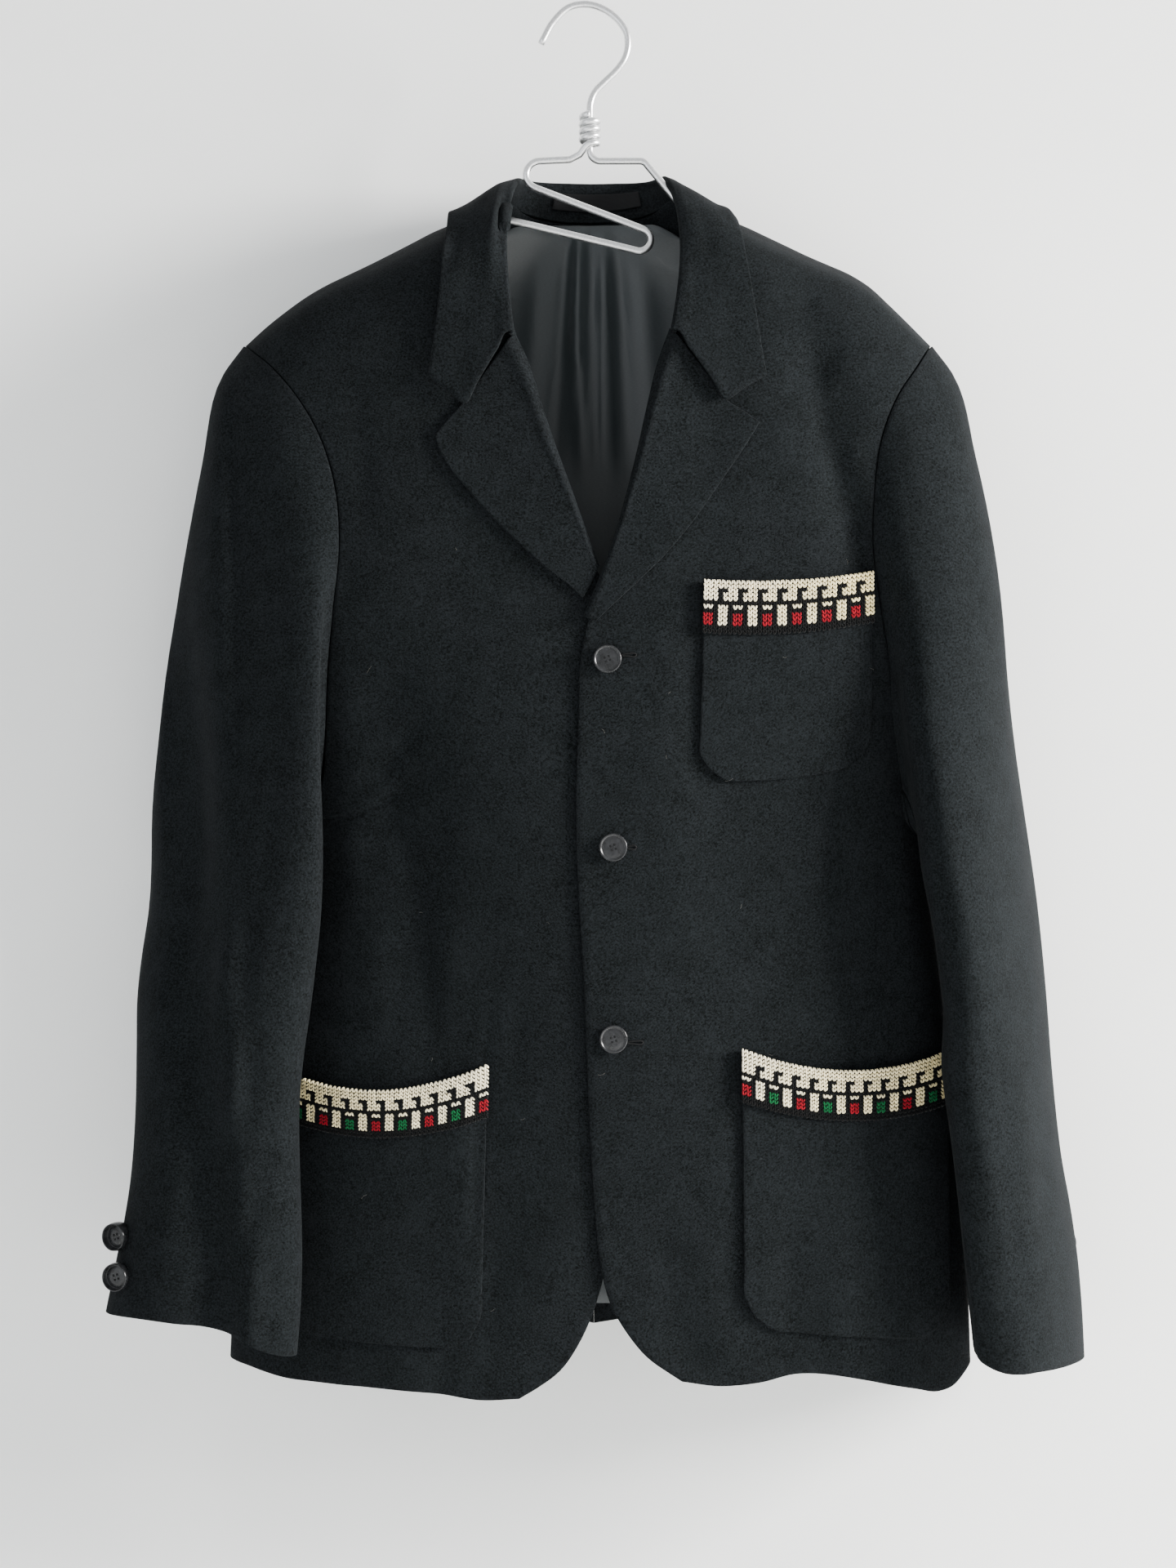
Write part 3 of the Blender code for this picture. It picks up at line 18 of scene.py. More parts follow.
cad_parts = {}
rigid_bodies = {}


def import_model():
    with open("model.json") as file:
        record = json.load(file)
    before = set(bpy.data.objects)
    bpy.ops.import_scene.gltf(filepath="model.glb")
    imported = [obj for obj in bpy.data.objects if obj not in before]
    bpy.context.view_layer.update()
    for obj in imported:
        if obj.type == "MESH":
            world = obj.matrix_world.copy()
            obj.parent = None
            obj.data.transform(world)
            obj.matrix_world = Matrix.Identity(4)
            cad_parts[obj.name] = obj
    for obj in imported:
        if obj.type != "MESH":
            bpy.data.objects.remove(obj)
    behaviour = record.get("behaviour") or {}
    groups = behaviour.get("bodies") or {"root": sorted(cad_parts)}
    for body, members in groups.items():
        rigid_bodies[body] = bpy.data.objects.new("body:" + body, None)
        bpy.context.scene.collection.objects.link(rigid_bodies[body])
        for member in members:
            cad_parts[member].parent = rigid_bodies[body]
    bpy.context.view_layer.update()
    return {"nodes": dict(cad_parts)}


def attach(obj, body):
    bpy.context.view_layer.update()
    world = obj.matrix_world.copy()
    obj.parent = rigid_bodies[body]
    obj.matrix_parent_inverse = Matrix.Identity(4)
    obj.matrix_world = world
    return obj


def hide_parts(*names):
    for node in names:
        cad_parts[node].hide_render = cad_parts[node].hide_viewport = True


for found in list(bpy.data.objects):
    bpy.data.objects.remove(found, do_unlink=True)
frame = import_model()
MM = 0.001

# %% [markdown]
# ## Camera
# The photo was taken from straight in front of the jacket's middle. A 54 mm lens at a metre and a
# half shows one metre from top to bottom, so the sleeves show a little of their sides.

# %%
# Camera where the photographer stood
CAMERA_DISTANCE = 1.550
CAMERA_HEIGHT = -0.5118
CAMERA_LENS = 54.0
SENSOR_WIDTH = 36.0

camera_data = bpy.data.cameras.new("camera")
camera_data.lens = CAMERA_LENS
camera_data.sensor_width = SENSOR_WIDTH
camera = bpy.data.objects.new("camera", camera_data)
camera.location = (0.0, -CAMERA_DISTANCE, CAMERA_HEIGHT)
camera.rotation_euler = (math.radians(90), 0.0, 0.0)
bpy.context.scene.collection.objects.link(camera)
bpy.context.scene.camera = camera
print("camera lens:", CAMERA_LENS, "mm")

# %% [markdown]
# ## Reading the cloth's own grid
# Each CAD cloth piece is a closed wall whose two sides are grids of points, cut into triangles.
# Walking from point to point gives the outer grid back, row by row. Everything that follows is
# worked out from these grids, so no piece can drift away from its solid.

# %%
# Grids of the cloth pieces
AHEAD, BEHIND, DOWN = (0, -1, 0), (0, 1, 0), (0, 0, -1)
SIDES = {"right": (-1, 0, 0), "left": (1, 0, 0)}
# Rows and steps of each piece's CAD grid
SHEET_GRIDS = {
    "front_left": (24, 13), "front_right": (24, 13), "back_left": (24, 11), "back_right": (24, 11),
    "sleeve_top_left": (15, 15), "sleeve_top_right": (15, 15),
    "sleeve_under_left": (15, 11), "sleeve_under_right": (15, 11),
    "collar": (25, 14), "lapel_left": (13, 9), "lapel_right": (13, 9), "back_lining": (13, 15),
    "chest_pocket": (10, 10), "hip_pocket_left": (10, 10), "hip_pocket_right": (10, 10),
    "chest_knit_band": (4, 13), "hip_knit_band_left": (4, 13), "hip_knit_band_right": (4, 13),
    "neck_label": (5, 3),
}
MERGE = 4e-7
SHARP_ANGLES, PATCHES_TRIED = (40, 50, 60, 70, 30, 80), 3


def merged_copy(node):
    """A welded copy of a CAD node's triangles."""
    shape = bmesh.new()
    shape.from_mesh(frame["nodes"][node].data)
    bmesh.ops.remove_doubles(shape, verts=shape.verts, dist=MERGE)
    bmesh.ops.recalc_face_normals(shape, faces=shape.faces)
    shape.normal_update()
    return shape


def smooth_patches(shape, angle):
    """Groups of faces that no edge sharper than the angle parts, largest first."""
    limit = math.cos(math.radians(angle))
    left, patches = set(shape.faces), []
    while left:
        waiting = [left.pop()]
        patch = set(waiting)
        while waiting:
            face = waiting.pop()
            beside = {other for edge in face.edges for other in edge.link_faces} & left
            for other in beside:
                if face.normal.dot(other.normal) > limit:
                    left.discard(other)
                    patch.add(other)
                    waiting.append(other)
        patches.append(patch)
    return sorted(patches, key=len, reverse=True)


def two_sides(shape, rows, steps):
    """The faces of the wall's two sides."""
    for angle in SHARP_ANGLES:
        for patch in smooth_patches(shape, angle)[:PATCHES_TRIED]:
            corners = {vertex for face in patch for vertex in face.verts}
            if len(corners) != rows * steps:
                continue
            one = {face for face in shape.faces if all(v in corners for v in face.verts)}
            other = {face for face in shape.faces if not any(v in corners for v in face.verts)}
            if len(one) == len(other) == 2 * (rows - 1) * (steps - 1):
                return one, other
    raise ValueError("the wall's sides weren't found")


def walk_grid(side, rows, steps):
    """Vertices of one side in rows and steps."""
    near, after = {}, {}
    for face in side:
        for loop in face.loops:
            here, there = loop.vert, loop.link_loop_next.vert
            near.setdefault(here, set()).add(there)
            near.setdefault(there, set()).add(here)
            if sum(other in side for other in loop.edge.link_faces) == 1:
                after[here] = there
    rim = [min(after, key=lambda vertex: vertex.index)]
    while after[rim[-1]] != rim[0]:
        rim.append(after[rim[-1]])
    for start in range(len(rim)):
        found = fill_grid(near, rim[start:] + rim[:start], rows, steps)
        if found:
            return found
    raise ValueError("the grid wasn't found")


def fill_grid(near, rim, rows, steps):
    """The grid that starts at the rim's first vertex, or None where it doesn't close."""
    left_edge = [rim[0]] + rim[: -rows : -1]
    grid, seen = [rim[:steps]], set(rim[:steps])
    for row in range(1, rows):
        line = [left_edge[row]]
        seen.add(line[0])
        for step in range(1, steps):
            shared = (near[line[-1]] & near[grid[-1][step]]) - seen
            if len(shared) != 1:
                return None
            line.append(shared.pop())
            seen.add(line[-1])
        grid.append(line)
    right_edge = rim[steps - 1 : steps + rows - 1]
    return grid if [line[-1] for line in grid] == right_edge else None


def sheet_grid(node, outward, rows_towards, steps_towards):
    """A cloth node's outer points in mm, in rows and steps as asked, and the sign of its outer side."""
    rows, steps = SHEET_GRIDS[node]
    shape = merged_copy(node)
    grids = []
    for side in two_sides(shape, rows, steps):
        walked = walk_grid(side, rows, steps)
        grids.append(np.array([[tuple(vertex.co) for vertex in line] for line in walked]) / MM)
    shape.free()
    if outward:
        score = [float(grid.reshape(-1, 3).mean(axis=0) @ np.array(outward)) for grid in grids]
    else:
        score = [grid_area(grid) for grid in grids]
    outer, inner = (grids[0], grids[1]) if score[0] > score[1] else (grids[1], grids[0])
    down, across = (outer[-1] - outer[0]).mean(axis=0), (outer[:, -1] - outer[:, 0]).mean(axis=0)
    if abs(across @ np.array(rows_towards)) > abs(down @ np.array(rows_towards)):
        outer = outer.transpose(1, 0, 2)
    if (outer[-1] - outer[0]).mean(axis=0) @ np.array(rows_towards) < 0:
        outer = outer[::-1]
    if (outer[:, -1] - outer[:, 0]).mean(axis=0) @ np.array(steps_towards) < 0:
        outer = outer[:, ::-1]
    away = outer[:, :, None] - inner.reshape(1, 1, -1, 3)
    nearest = np.linalg.norm(away, axis=3).argmin(axis=2)
    lift = np.take_along_axis(away, nearest[..., None, None], axis=2)[:, :, 0]
    turn = np.sign(np.sum(plain_normals(outer) * lift, axis=2).sum())
    return outer, turn


def grid_area(grid):
    """Area of a grid in square mm."""
    down, across = np.diff(grid, axis=0)[:, 1:], np.diff(grid, axis=1)[1:]
    return float(np.linalg.norm(np.cross(down, across), axis=2).sum())


def unit(vectors):
    """Vectors of length 1."""
    return vectors / np.maximum(np.linalg.norm(vectors, axis=-1, keepdims=True), 1e-9)


def plain_normals(grid):
    """Unit normals of a grid, to the side that its rows and steps give."""
    return unit(np.cross(np.gradient(grid, axis=0), np.gradient(grid, axis=1)))


sample, _ = sheet_grid("chest_pocket", AHEAD, DOWN, SIDES["left"])
print("chest pocket grid:", sample.shape, "area", round(grid_area(sample)), "square mm")

# %% [markdown]
# ## Finer, softer cloth
# A smooth curve through the grid's own points gives as many points between them as a fold needs.
# The wall is then closed with a rounded rim, because a turned wool edge is never sharp. A sleeve
# also gets a narrow seam allowance below the body, so that no light comes through the armhole.

# %%
# Smooth surfaces and cloth walls
# How far in from the edge and how deep the rim's points lie, in shares of the thickness
RIM_PROFILE = ((0.26, 0.0), (0.07, 0.1), (-0.05, 0.38), (-0.05, 0.62), (0.07, 0.9), (0.26, 1.0))
RIM_ROOM = 0.4
ALLOWANCE_GAP, ALLOWANCE_INSIDE, ALLOWANCE_THICK = 0.2, 3.0, 0.8


def smoothstep(low, high, at):
    """0 below low, 1 above high, and smooth between."""
    share = np.clip((np.asarray(at, float) - low) / (high - low), 0.0, 1.0)
    return share * share * (3 - 2 * share)


def finer_rows(grid, times):
    """More rows on a smooth curve through the grid's own rows."""
    count = len(grid)
    step = np.diff(grid, axis=0)
    gap = np.maximum(np.linalg.norm(step, axis=2, keepdims=True), 1e-6)
    slope = step / gap
    tangent = np.empty_like(grid)
    tangent[0], tangent[-1] = slope[0], slope[-1]
    tangent[1:-1] = (slope[:-1] * gap[1:] + slope[1:] * gap[:-1]) / (gap[:-1] + gap[1:])
    at = np.linspace(0, count - 1, (count - 1) * times + 1)
    first = np.minimum(at.astype(int), count - 2)
    share = (at - first)[:, None, None]
    start, end = grid[first], grid[first + 1]
    leave, arrive = tangent[first] * gap[first], tangent[first + 1] * gap[first]
    return (
        start * (1 + 2 * share) * (1 - share) ** 2
        + leave * share * (1 - share) ** 2
        + end * share**2 * (3 - 2 * share)
        + arrive * share**2 * (share - 1)
    )


def finer(grid, row_times, step_times):
    """More points in both directions."""
    return finer_rows(finer_rows(grid, row_times).transpose(1, 0, 2), step_times).transpose(1, 0, 2)


def rim_of(rows, steps):
    """Places of a grid's border in order, each with the place beside it further in."""
    top = [((0, step), (1, step)) for step in range(steps)]
    right = [((row, steps - 1), (row, steps - 2)) for row in range(1, rows)]
    low = [((rows - 1, step), (rows - 2, step)) for step in range(steps - 2, -1, -1)]
    left = [((row, 0), (row, 1)) for row in range(rows - 2, 0, -1)]
    corners = {(0, 0): (1, 1), (0, steps - 1): (1, steps - 2)}
    corners.update({(rows - 1, 0): (rows - 2, 1), (rows - 1, steps - 1): (rows - 2, steps - 2)})
    return [(place, corners.get(place, beside)) for place, beside in top + right + low + left]


def wall_mesh(name, grid, normal, thickness):
    """A closed cloth wall with a rounded rim. The grid is its outer side, in mm."""
    rows, steps = grid.shape[:2]
    border = rim_of(rows, steps)
    edge = np.array([grid[place] for place, _ in border])
    beside = np.array([grid[inside] for _, inside in border])
    edge_normal = np.array([normal[place] for place, _ in border])
    out = unit(edge - beside)
    room = np.linalg.norm(edge - beside, axis=1, keepdims=True) * RIM_ROOM
    outer, inner = grid.copy(), grid - normal * thickness
    rings = []
    for inset, depth in RIM_PROFILE:
        rings.append(edge - out * np.minimum(inset * thickness, room) - edge_normal * depth * thickness)
    for index, (place, _) in enumerate(border):
        outer[place], inner[place] = rings[0][index], rings[-1][index]
    count = rows * steps
    vertices = [outer.reshape(-1, 3), inner.reshape(-1, 3)] + rings[1:-1]
    ring_at = [[row * steps + step for (row, step), _ in border]]
    for ring in range(len(rings) - 2):
        first = 2 * count + ring * len(border)
        ring_at.append(list(range(first, first + len(border))))
    ring_at.append([count + place for place in ring_at[0]])
    row, step = np.meshgrid(np.arange(rows - 1), np.arange(steps - 1), indexing="ij")
    corner = (row * steps + step).ravel()
    quads = np.stack([corner, corner + 1, corner + steps + 1, corner + steps], axis=1)
    faces = quads.tolist() + (quads[:, ::-1] + count).tolist()
    for low, high in zip(ring_at, ring_at[1:]):
        for here in range(len(border)):
            there = (here + 1) % len(border)
            faces.append((low[there], low[here], high[here], high[there]))
    mesh = bpy.data.meshes.new(name)
    mesh.from_pydata((np.concatenate(vertices) * MM).tolist(), [], faces)
    add_cloth_map(mesh, grid, quads)
    shape = bmesh.new()
    shape.from_mesh(mesh)
    bmesh.ops.recalc_face_normals(shape, faces=shape.faces)
    shape.to_mesh(mesh)
    shape.free()
    mesh.shade_smooth()
    return mesh


def add_cloth_map(mesh, grid, quads):
    """A UV map whose unit is one metre along the cloth, for weaves that follow it."""
    along = np.cumsum(np.pad(np.linalg.norm(np.diff(grid, axis=0), axis=2), ((1, 0), (0, 0))), axis=0)
    across = np.cumsum(np.pad(np.linalg.norm(np.diff(grid, axis=1), axis=2), ((0, 0), (1, 0))), axis=1)
    flat = np.stack([across.ravel(), along.ravel()], axis=1) * MM
    values = np.zeros((len(mesh.vertices), 2))
    values[: len(flat)] = flat
    values[len(flat) : 2 * len(flat)] = flat
    layer = mesh.uv_layers.new(name="cloth")
    corner = np.zeros(len(mesh.loops), np.int32)
    mesh.loops.foreach_get("vertex_index", corner)
    layer.data.foreach_set("uv", values[corner].ravel().astype(np.float32))


def add_allowance(mesh, grid, normal, thickness, reach):
    """Seam allowance under the first row: a narrow strip that goes on below the next piece."""
    edge, over = grid[0], unit(grid[0] - grid[1])
    below = edge - normal[0] * (thickness + ALLOWANCE_GAP)
    strip = np.stack([below + over * along for along in (-ALLOWANCE_INSIDE, 0.0, reach / 2, reach)])
    turn = np.sign(np.sum(plain_normals(strip)[1] * normal[0]))
    extra = wall_mesh("allowance", strip, plain_normals(strip) * turn, ALLOWANCE_THICK)
    shape = bmesh.new()
    shape.from_mesh(mesh)
    shape.from_mesh(extra)
    shape.to_mesh(mesh)
    shape.free()
    bpy.data.meshes.remove(extra)


def add_piece(name, mesh, material, slot, nodes=()):
    """An object that rides on the jacket's one body and stands for the given CAD nodes."""
    piece = bpy.data.objects.new(name, mesh)
    bpy.context.scene.collection.objects.link(piece)
    mesh.materials.clear()
    mesh.materials.append(material)
    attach(piece, "root")
    if nodes:
        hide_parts(*nodes)
    return piece


print("rim profile of", len(RIM_PROFILE), "points round each cloth edge")

# %% [markdown]
# ## Colours and shader helpers
# Colours are written as sRGB hex values, as a colour picker gives them, and turned into the linear
# values that shaders use. One helper adds any node, sets its values and links its inputs. Two more
# colour a surface by a ramp and let a texture stand out as bump.

# %%
# Helpers for materials
def colour(code):
    """Linear colour of an sRGB hex code."""
    values = [int(code[place : place + 2], 16) / 255 for place in (1, 3, 5)]
    linear = [v / 12.92 if v <= 0.04045 else ((v + 0.055) / 1.055) ** 2.4 for v in values]
    return (*linear, 1.0)


def add_node(tree, kind, settings=None, **inputs):
    """A node with its settings, and its inputs set or linked by name."""
    node = tree.nodes.new(kind)
    for name, value in (settings or {}).items():
        setattr(node, name, value)
    for name, value in inputs.items():
        place = int(name[1:]) if name[0] == "i" and name[1:].isdigit() else name.replace("_", " ")
        socket = node.inputs[place]
        if isinstance(value, bpy.types.NodeSocket):
            tree.links.new(value, socket)
        else:
            socket.default_value = value
    return node


def new_material(name, **inputs):
    """A material with its Principled shader's inputs set by name, its node tree and that shader."""
    made = bpy.data.materials.new(name)
    made.use_nodes = True
    shader = made.node_tree.nodes["Principled BSDF"]
    for socket, value in inputs.items():
        shader.inputs[socket.replace("_", " ")].default_value = value
    return made, made.node_tree, shader


def own_place(tree):
    """Places on the object itself, in metres, so that a grain keeps its real size."""
    return add_node(tree, "ShaderNodeTexCoord").outputs["Object"]


def cloth_place(tree):
    """Places along the cloth's rows and steps, in metres, so that a weave follows the cut."""
    return add_node(tree, "ShaderNodeUVMap", {"uv_map": "cloth"}).outputs["UV"]


def dye(tree, shader, factor, *stops):
    """Colour the surface by a ramp over the factor, its two stops given as place and hex code."""
    ramp = add_node(tree, "ShaderNodeValToRGB", Fac=factor)
    for element, (place, code) in zip(ramp.color_ramp.elements, stops):
        element.position = place
        element.color = colour(code)
    tree.links.new(ramp.outputs["Color"], shader.inputs["Base Color"])


def emboss(tree, shader, height, strength, distance):
    """Let a texture's height stand out as bump, its distance in metres."""
    relief = add_node(tree, "ShaderNodeBump", Strength=strength, Distance=distance, Height=height)
    tree.links.new(relief.outputs["Normal"], shader.inputs["Normal"])


WOOL_DARK, WOOL_LIGHT = "#030404", "#191c1e"
print("lightest wool fibre in linear colour:", [round(v, 4) for v in colour(WOOL_LIGHT)[:3]])

# %% [markdown]
# ## Black wool
# The cloth is a fulled woollen flannel: yarn-dyed black, milled until the weave closes, with a short
# nap. Fine fibre noise breaks up the colour, a faint twill shows through, and a soft sheen lifts
# the edges where the nap catches the light.


# %%
# Fulled black wool flannel
def wool_material():
    """Woollen flannel: speckled fibre colour, a faint twill and a napped surface."""
    made, tree, shader = new_material(
        "fulled black wool flannel", Roughness=0.95, Specular_IOR_Level=0.06, Sheen_Weight=0.012,
        Sheen_Roughness=0.55, Sheen_Tint=colour("#b9c0c4"),
    )
    place = own_place(tree)
    fibre = add_node(tree, "ShaderNodeTexNoise", Vector=place, Scale=760.0, Detail=4.0, Roughness=0.75)
    cloud = add_node(tree, "ShaderNodeTexNoise", Vector=place, Scale=55.0, Detail=3.0, Roughness=0.6)
    twill = add_node(
        tree, "ShaderNodeTexWave", {"bands_direction": "DIAGONAL"}, Vector=cloth_place(tree), Scale=330.0,
        Distortion=8.0, Detail=2.0,
    )
    share = fibre.outputs["Fac"]
    for layer, weight in ((cloud, 0.16), (twill, 0.05)):
        added = {"i0": layer.outputs["Fac"], "i1": weight, "i2": share}
        share = add_node(tree, "ShaderNodeMath", {"operation": "MULTIPLY_ADD"}, **added).outputs[0]
    dye(tree, shader, share, (0.46, WOOL_DARK), (0.74, WOOL_LIGHT))
    emboss(tree, shader, share, 0.45, 0.0005)
    return made


BLACK_WOOL = wool_material()
print("made", BLACK_WOOL.name)

# %% [markdown]
# ## Creases
# Worn wool keeps soft troughs and ridges. Each row of a table is one of them: where it starts and
# ends, how wide and how deep it is. A trough pushes every layer that lies there by the same amount,
# so pockets and lapels never sink into the fronts below them. "Drop" is the way down from the hook.

# %%
# Troughs and ridges
# From x and drop to x and drop, then spread and depth, all in mm. A ridge's depth is negative.
FRONT_CREASES = (
    (139, 205, 152, 290, 5.0, 1.6),
    (150, 285, 178, 372, 6.5, 1.5),
    (166, 290, 192, 352, 6.0, -1.2),
    (205, 255, 217, 263, 5.0, 1.2),
    (-131, 500, -104, 600, 8.0, 1.4),
    (-105, 590, -101, 690, 7.0, 1.2),
    (-118, 520, -88, 640, 9.0, -1.0),
    (-62, 655, -64, 705, 2.6, 0.8),
    (-55, 652, -57, 712, 2.4, -0.7),
    (-48, 655, -50, 704, 2.6, 0.8),
    (-41, 660, -43, 698, 2.4, 0.6),
    (-70, 715, -72, 800, 5.0, 0.9),
    (-58, 700, -62, 880, 8.0, 1.0),
    (60, 430, 74, 540, 10.0, 0.7),
    (190, 560, 200, 660, 6.0, 1.1),
    (206, 520, 214, 640, 7.0, -1.0),
    (46, 800, 60, 890, 9.0, 1.0),
    (72, 790, 86, 893, 9.0, -1.0),
    (150, 878, 152, 903, 8.0, 0.9),
    (-96, 868, -95, 908, 9.0, 0.9),
    (-160, 872, -158, 905, 8.0, -0.8),
    (-150, 250, -141, 360, 8.0, 0.8),
    (-176, 300, -160, 420, 8.0, -0.9),
    (26, 440, 40, 470, 5.0, 0.5),
)
BACK_CREASES = (
    (-120, 250, -96, 420, 12.0, 1.4),
    (110, 240, 92, 430, 13.0, 1.3),
    (-150, 420, -128, 600, 10.0, 1.2),
    (152, 410, 134, 610, 11.0, 1.2),
    (-30, 520, -40, 720, 12.0, 0.9),
    (52, 540, 60, 760, 12.0, 0.8),
    (-106, 720, -112, 885, 12.0, 1.2),
    (30, 760, 28, 880, 11.0, 0.9),
    (128, 730, 136, 885, 12.0, 1.1),
    (-170, 640, -176, 820, 9.0, -1.0),
    (186, 650, 192, 840, 9.0, -1.0),
    (-186, 250, -160, 300, 7.0, 1.0),
    (192, 252, 168, 305, 7.0, 0.9),
)
SLEEVE_CREASES = (
    (-231, 245, -227, 380, 4.0, 2.6),
    (-226, 370, -221, 560, 4.5, 2.4),
    (-240, 260, -236, 540, 7.0, -1.6),
    (-219, 560, -208, 830, 9.0, 2.6),
    (-262, 600, -256, 700, 12.0, 1.0),
    (-270, 520, -236, 560, 7.0, 1.1),
    (-280, 700, -250, 728, 8.0, 0.9),
    (262, 300, 280, 420, 9.0, 1.0),
    (288, 520, 252, 575, 8.0, 1.5),
    (296, 590, 262, 640, 9.0, 1.3),
    (250, 470, 276, 500, 8.0, -0.9),
    (300, 700, 292, 800, 10.0, 1.0),
    (262, 690, 270, 850, 11.0, 1.3),
    (240, 330, 250, 430, 9.0, 0.9),
)
RIPPLE, FRONT_SHARE, BACK_FADE = 0.6, 0.7, (2, 22)
CREASE_STARTS, CREASE_ENDS = (-0.12, 0.22), (0.72, 1.12)
SHOULDER_DROP, SHOULDER_SLOPE, SHOULDER_FADE, SIDE_FADE = 150, 0.4, (10, 50), (195, 235)


def pressed(x, drop, creases):
    """How far the creases press the cloth in at each place."""
    total = np.zeros(np.broadcast(x, drop).shape)
    for x_top, drop_top, x_low, drop_low, spread, depth in creases:
        line = Vector((x_low - x_top, drop_low - drop_top))
        run = ((x - x_top) * line.x + (drop - drop_top) * line.y) / line.length_squared
        away = ((x - x_top) * line.y - (drop - drop_top) * line.x) / line.length
        fade = smoothstep(*CREASE_STARTS, run) * (1 - smoothstep(*CREASE_ENDS, run))
        total += depth * fade * np.exp(-((away / spread) ** 2))
    return total


def ripple(x, drop):
    """The cloth's slow unevenness."""
    return RIPPLE * (
        np.sin(x / 17 + 1.3 * np.sin(drop / 61))
        + np.sin(drop / 43 + 0.9 * np.sin(x / 29))
        + 0.7 * np.sin(x / 37 - drop / 71)
    )


def away_from_seams(x, drop):
    """0 at the shoulder and side seams, so that the pieces stay joined, and 1 between them."""
    below_shoulder = smoothstep(*SHOULDER_FADE, drop - SHOULDER_DROP - SHOULDER_SLOPE * np.abs(x))
    return below_shoulder * (1 - smoothstep(*SIDE_FADE, np.abs(x)))


def creased_front(grid):
    """A front grid with its creases pressed in."""
    made = grid.copy()
    x, drop = grid[..., 0], -grid[..., 2]
    shift = pressed(x, drop, FRONT_CREASES) + ripple(x, drop) * FRONT_SHARE
    made[..., 1] += shift * away_from_seams(x, drop)
    return made


def creased_back(grid):
    """A back grid with its creases pressed in, none at the shoulders."""
    made = grid.copy()
    x, drop = grid[..., 0], -grid[..., 2]
    shift = pressed(x, drop, BACK_CREASES) + ripple(x, drop)
    made[..., 1] -= shift * away_from_seams(x, drop) * smoothstep(*BACK_FADE, grid[..., 1])
    return made


print(len(FRONT_CREASES), "front,", len(BACK_CREASES), "back and", len(SLEEVE_CREASES), "sleeve creases")

# %% [markdown]
# ## Fronts and backs
# Two fronts and two halves of the back are cut from the wool and seamed at the shoulders, sides and
# centre back. The wearer's left front lies over the right one and carries the buttonholes.

# %%
# Body panels
WOOL_THICK = 2.0
FRONT_TIMES, BACK_TIMES = (4, 6), (4, 5)


def add_cloth(node, grid, turn, thickness, look=(BLACK_WOOL, "black_wool"), allowance=0):
    """A cloth piece in place of its CAD node."""
    name, normal = f"{node}_cloth", plain_normals(grid) * turn
    mesh = wall_mesh(name, grid, normal, thickness)
    if allowance:
        add_allowance(mesh, grid, normal, thickness, allowance)
    piece = add_piece(name, mesh, *look, [node])
    print(node, "has", len(mesh.polygons), "faces")
    return piece


panels = []
for side, outwards in SIDES.items():
    for part, facing in (("front", AHEAD), ("back", BEHIND)):
        node = f"{part}_{side}"
        grid, turn = sheet_grid(node, facing, DOWN, outwards)
        if part == "front":
            grid = creased_front(finer(grid, *FRONT_TIMES))
        else:
            grid = creased_back(finer(grid, *BACK_TIMES))
        panels.append(add_cloth(node, grid, turn, WOOL_THICK))

# %% [markdown]
# ## Sleeves
# A tailored sleeve has two pieces, a top sleeve and a narrower under sleeve, set into the armhole.
# They hang flattened against the body, with one long crease down the front of each.

# %%
# Two-piece sleeves
SLEEVE_TIMES, SLEEVE_THICK, ARMHOLE_ALLOWANCE = (6, 6), 1.9, 3.5
SLEEVE_CUT = {
    "sleeve_top_right": (0.22, 0.66, 0.103), "sleeve_under_right": (0.14, 0.60, 0.059),
    "sleeve_top_left": (0.22, 0.66, 0.106), "sleeve_under_left": (0.14, 0.60, 0.057),
}
# From drop to drop, the Y up to which it works, and how far the edge comes in, all in mm
LEFT_SLEEVE_LEAN = ((470, 560, -8, 3.2), (700, 960, -34, 6.5))
INNER_EDGE, LEAN_FADE, LEAN_FRONT_FADE = (4, 45), 50, 10


def leaning(grid):
    """The left sleeve's inner edge, let down over the body's side."""
    made = grid.copy()
    x, y, drop = grid[..., 0], grid[..., 1], -grid[..., 2]
    inner = 1 - smoothstep(*INNER_EDGE, x - x.min(axis=1, keepdims=True))
    for start, end, y_end, amount in LEFT_SLEEVE_LEAN:
        along = smoothstep(start - LEAN_FADE, start, drop) * (1 - smoothstep(end, end + LEAN_FADE, drop))
        ahead = 1 - smoothstep(y_end - LEAN_FRONT_FADE, y_end + LEAN_FRONT_FADE, y)
        made[..., 0] -= amount * along * inner * ahead
    return made


FACING_FADE, CALM_ROWS, CALM_STEPS = (0.05, 0.6), 0.1, 0.08
BEHIND_LOWER, BEHIND_SHARE, RIPPLE_SHIFT, RIPPLE_SHARE = 18, 0.6, 40, 0.8


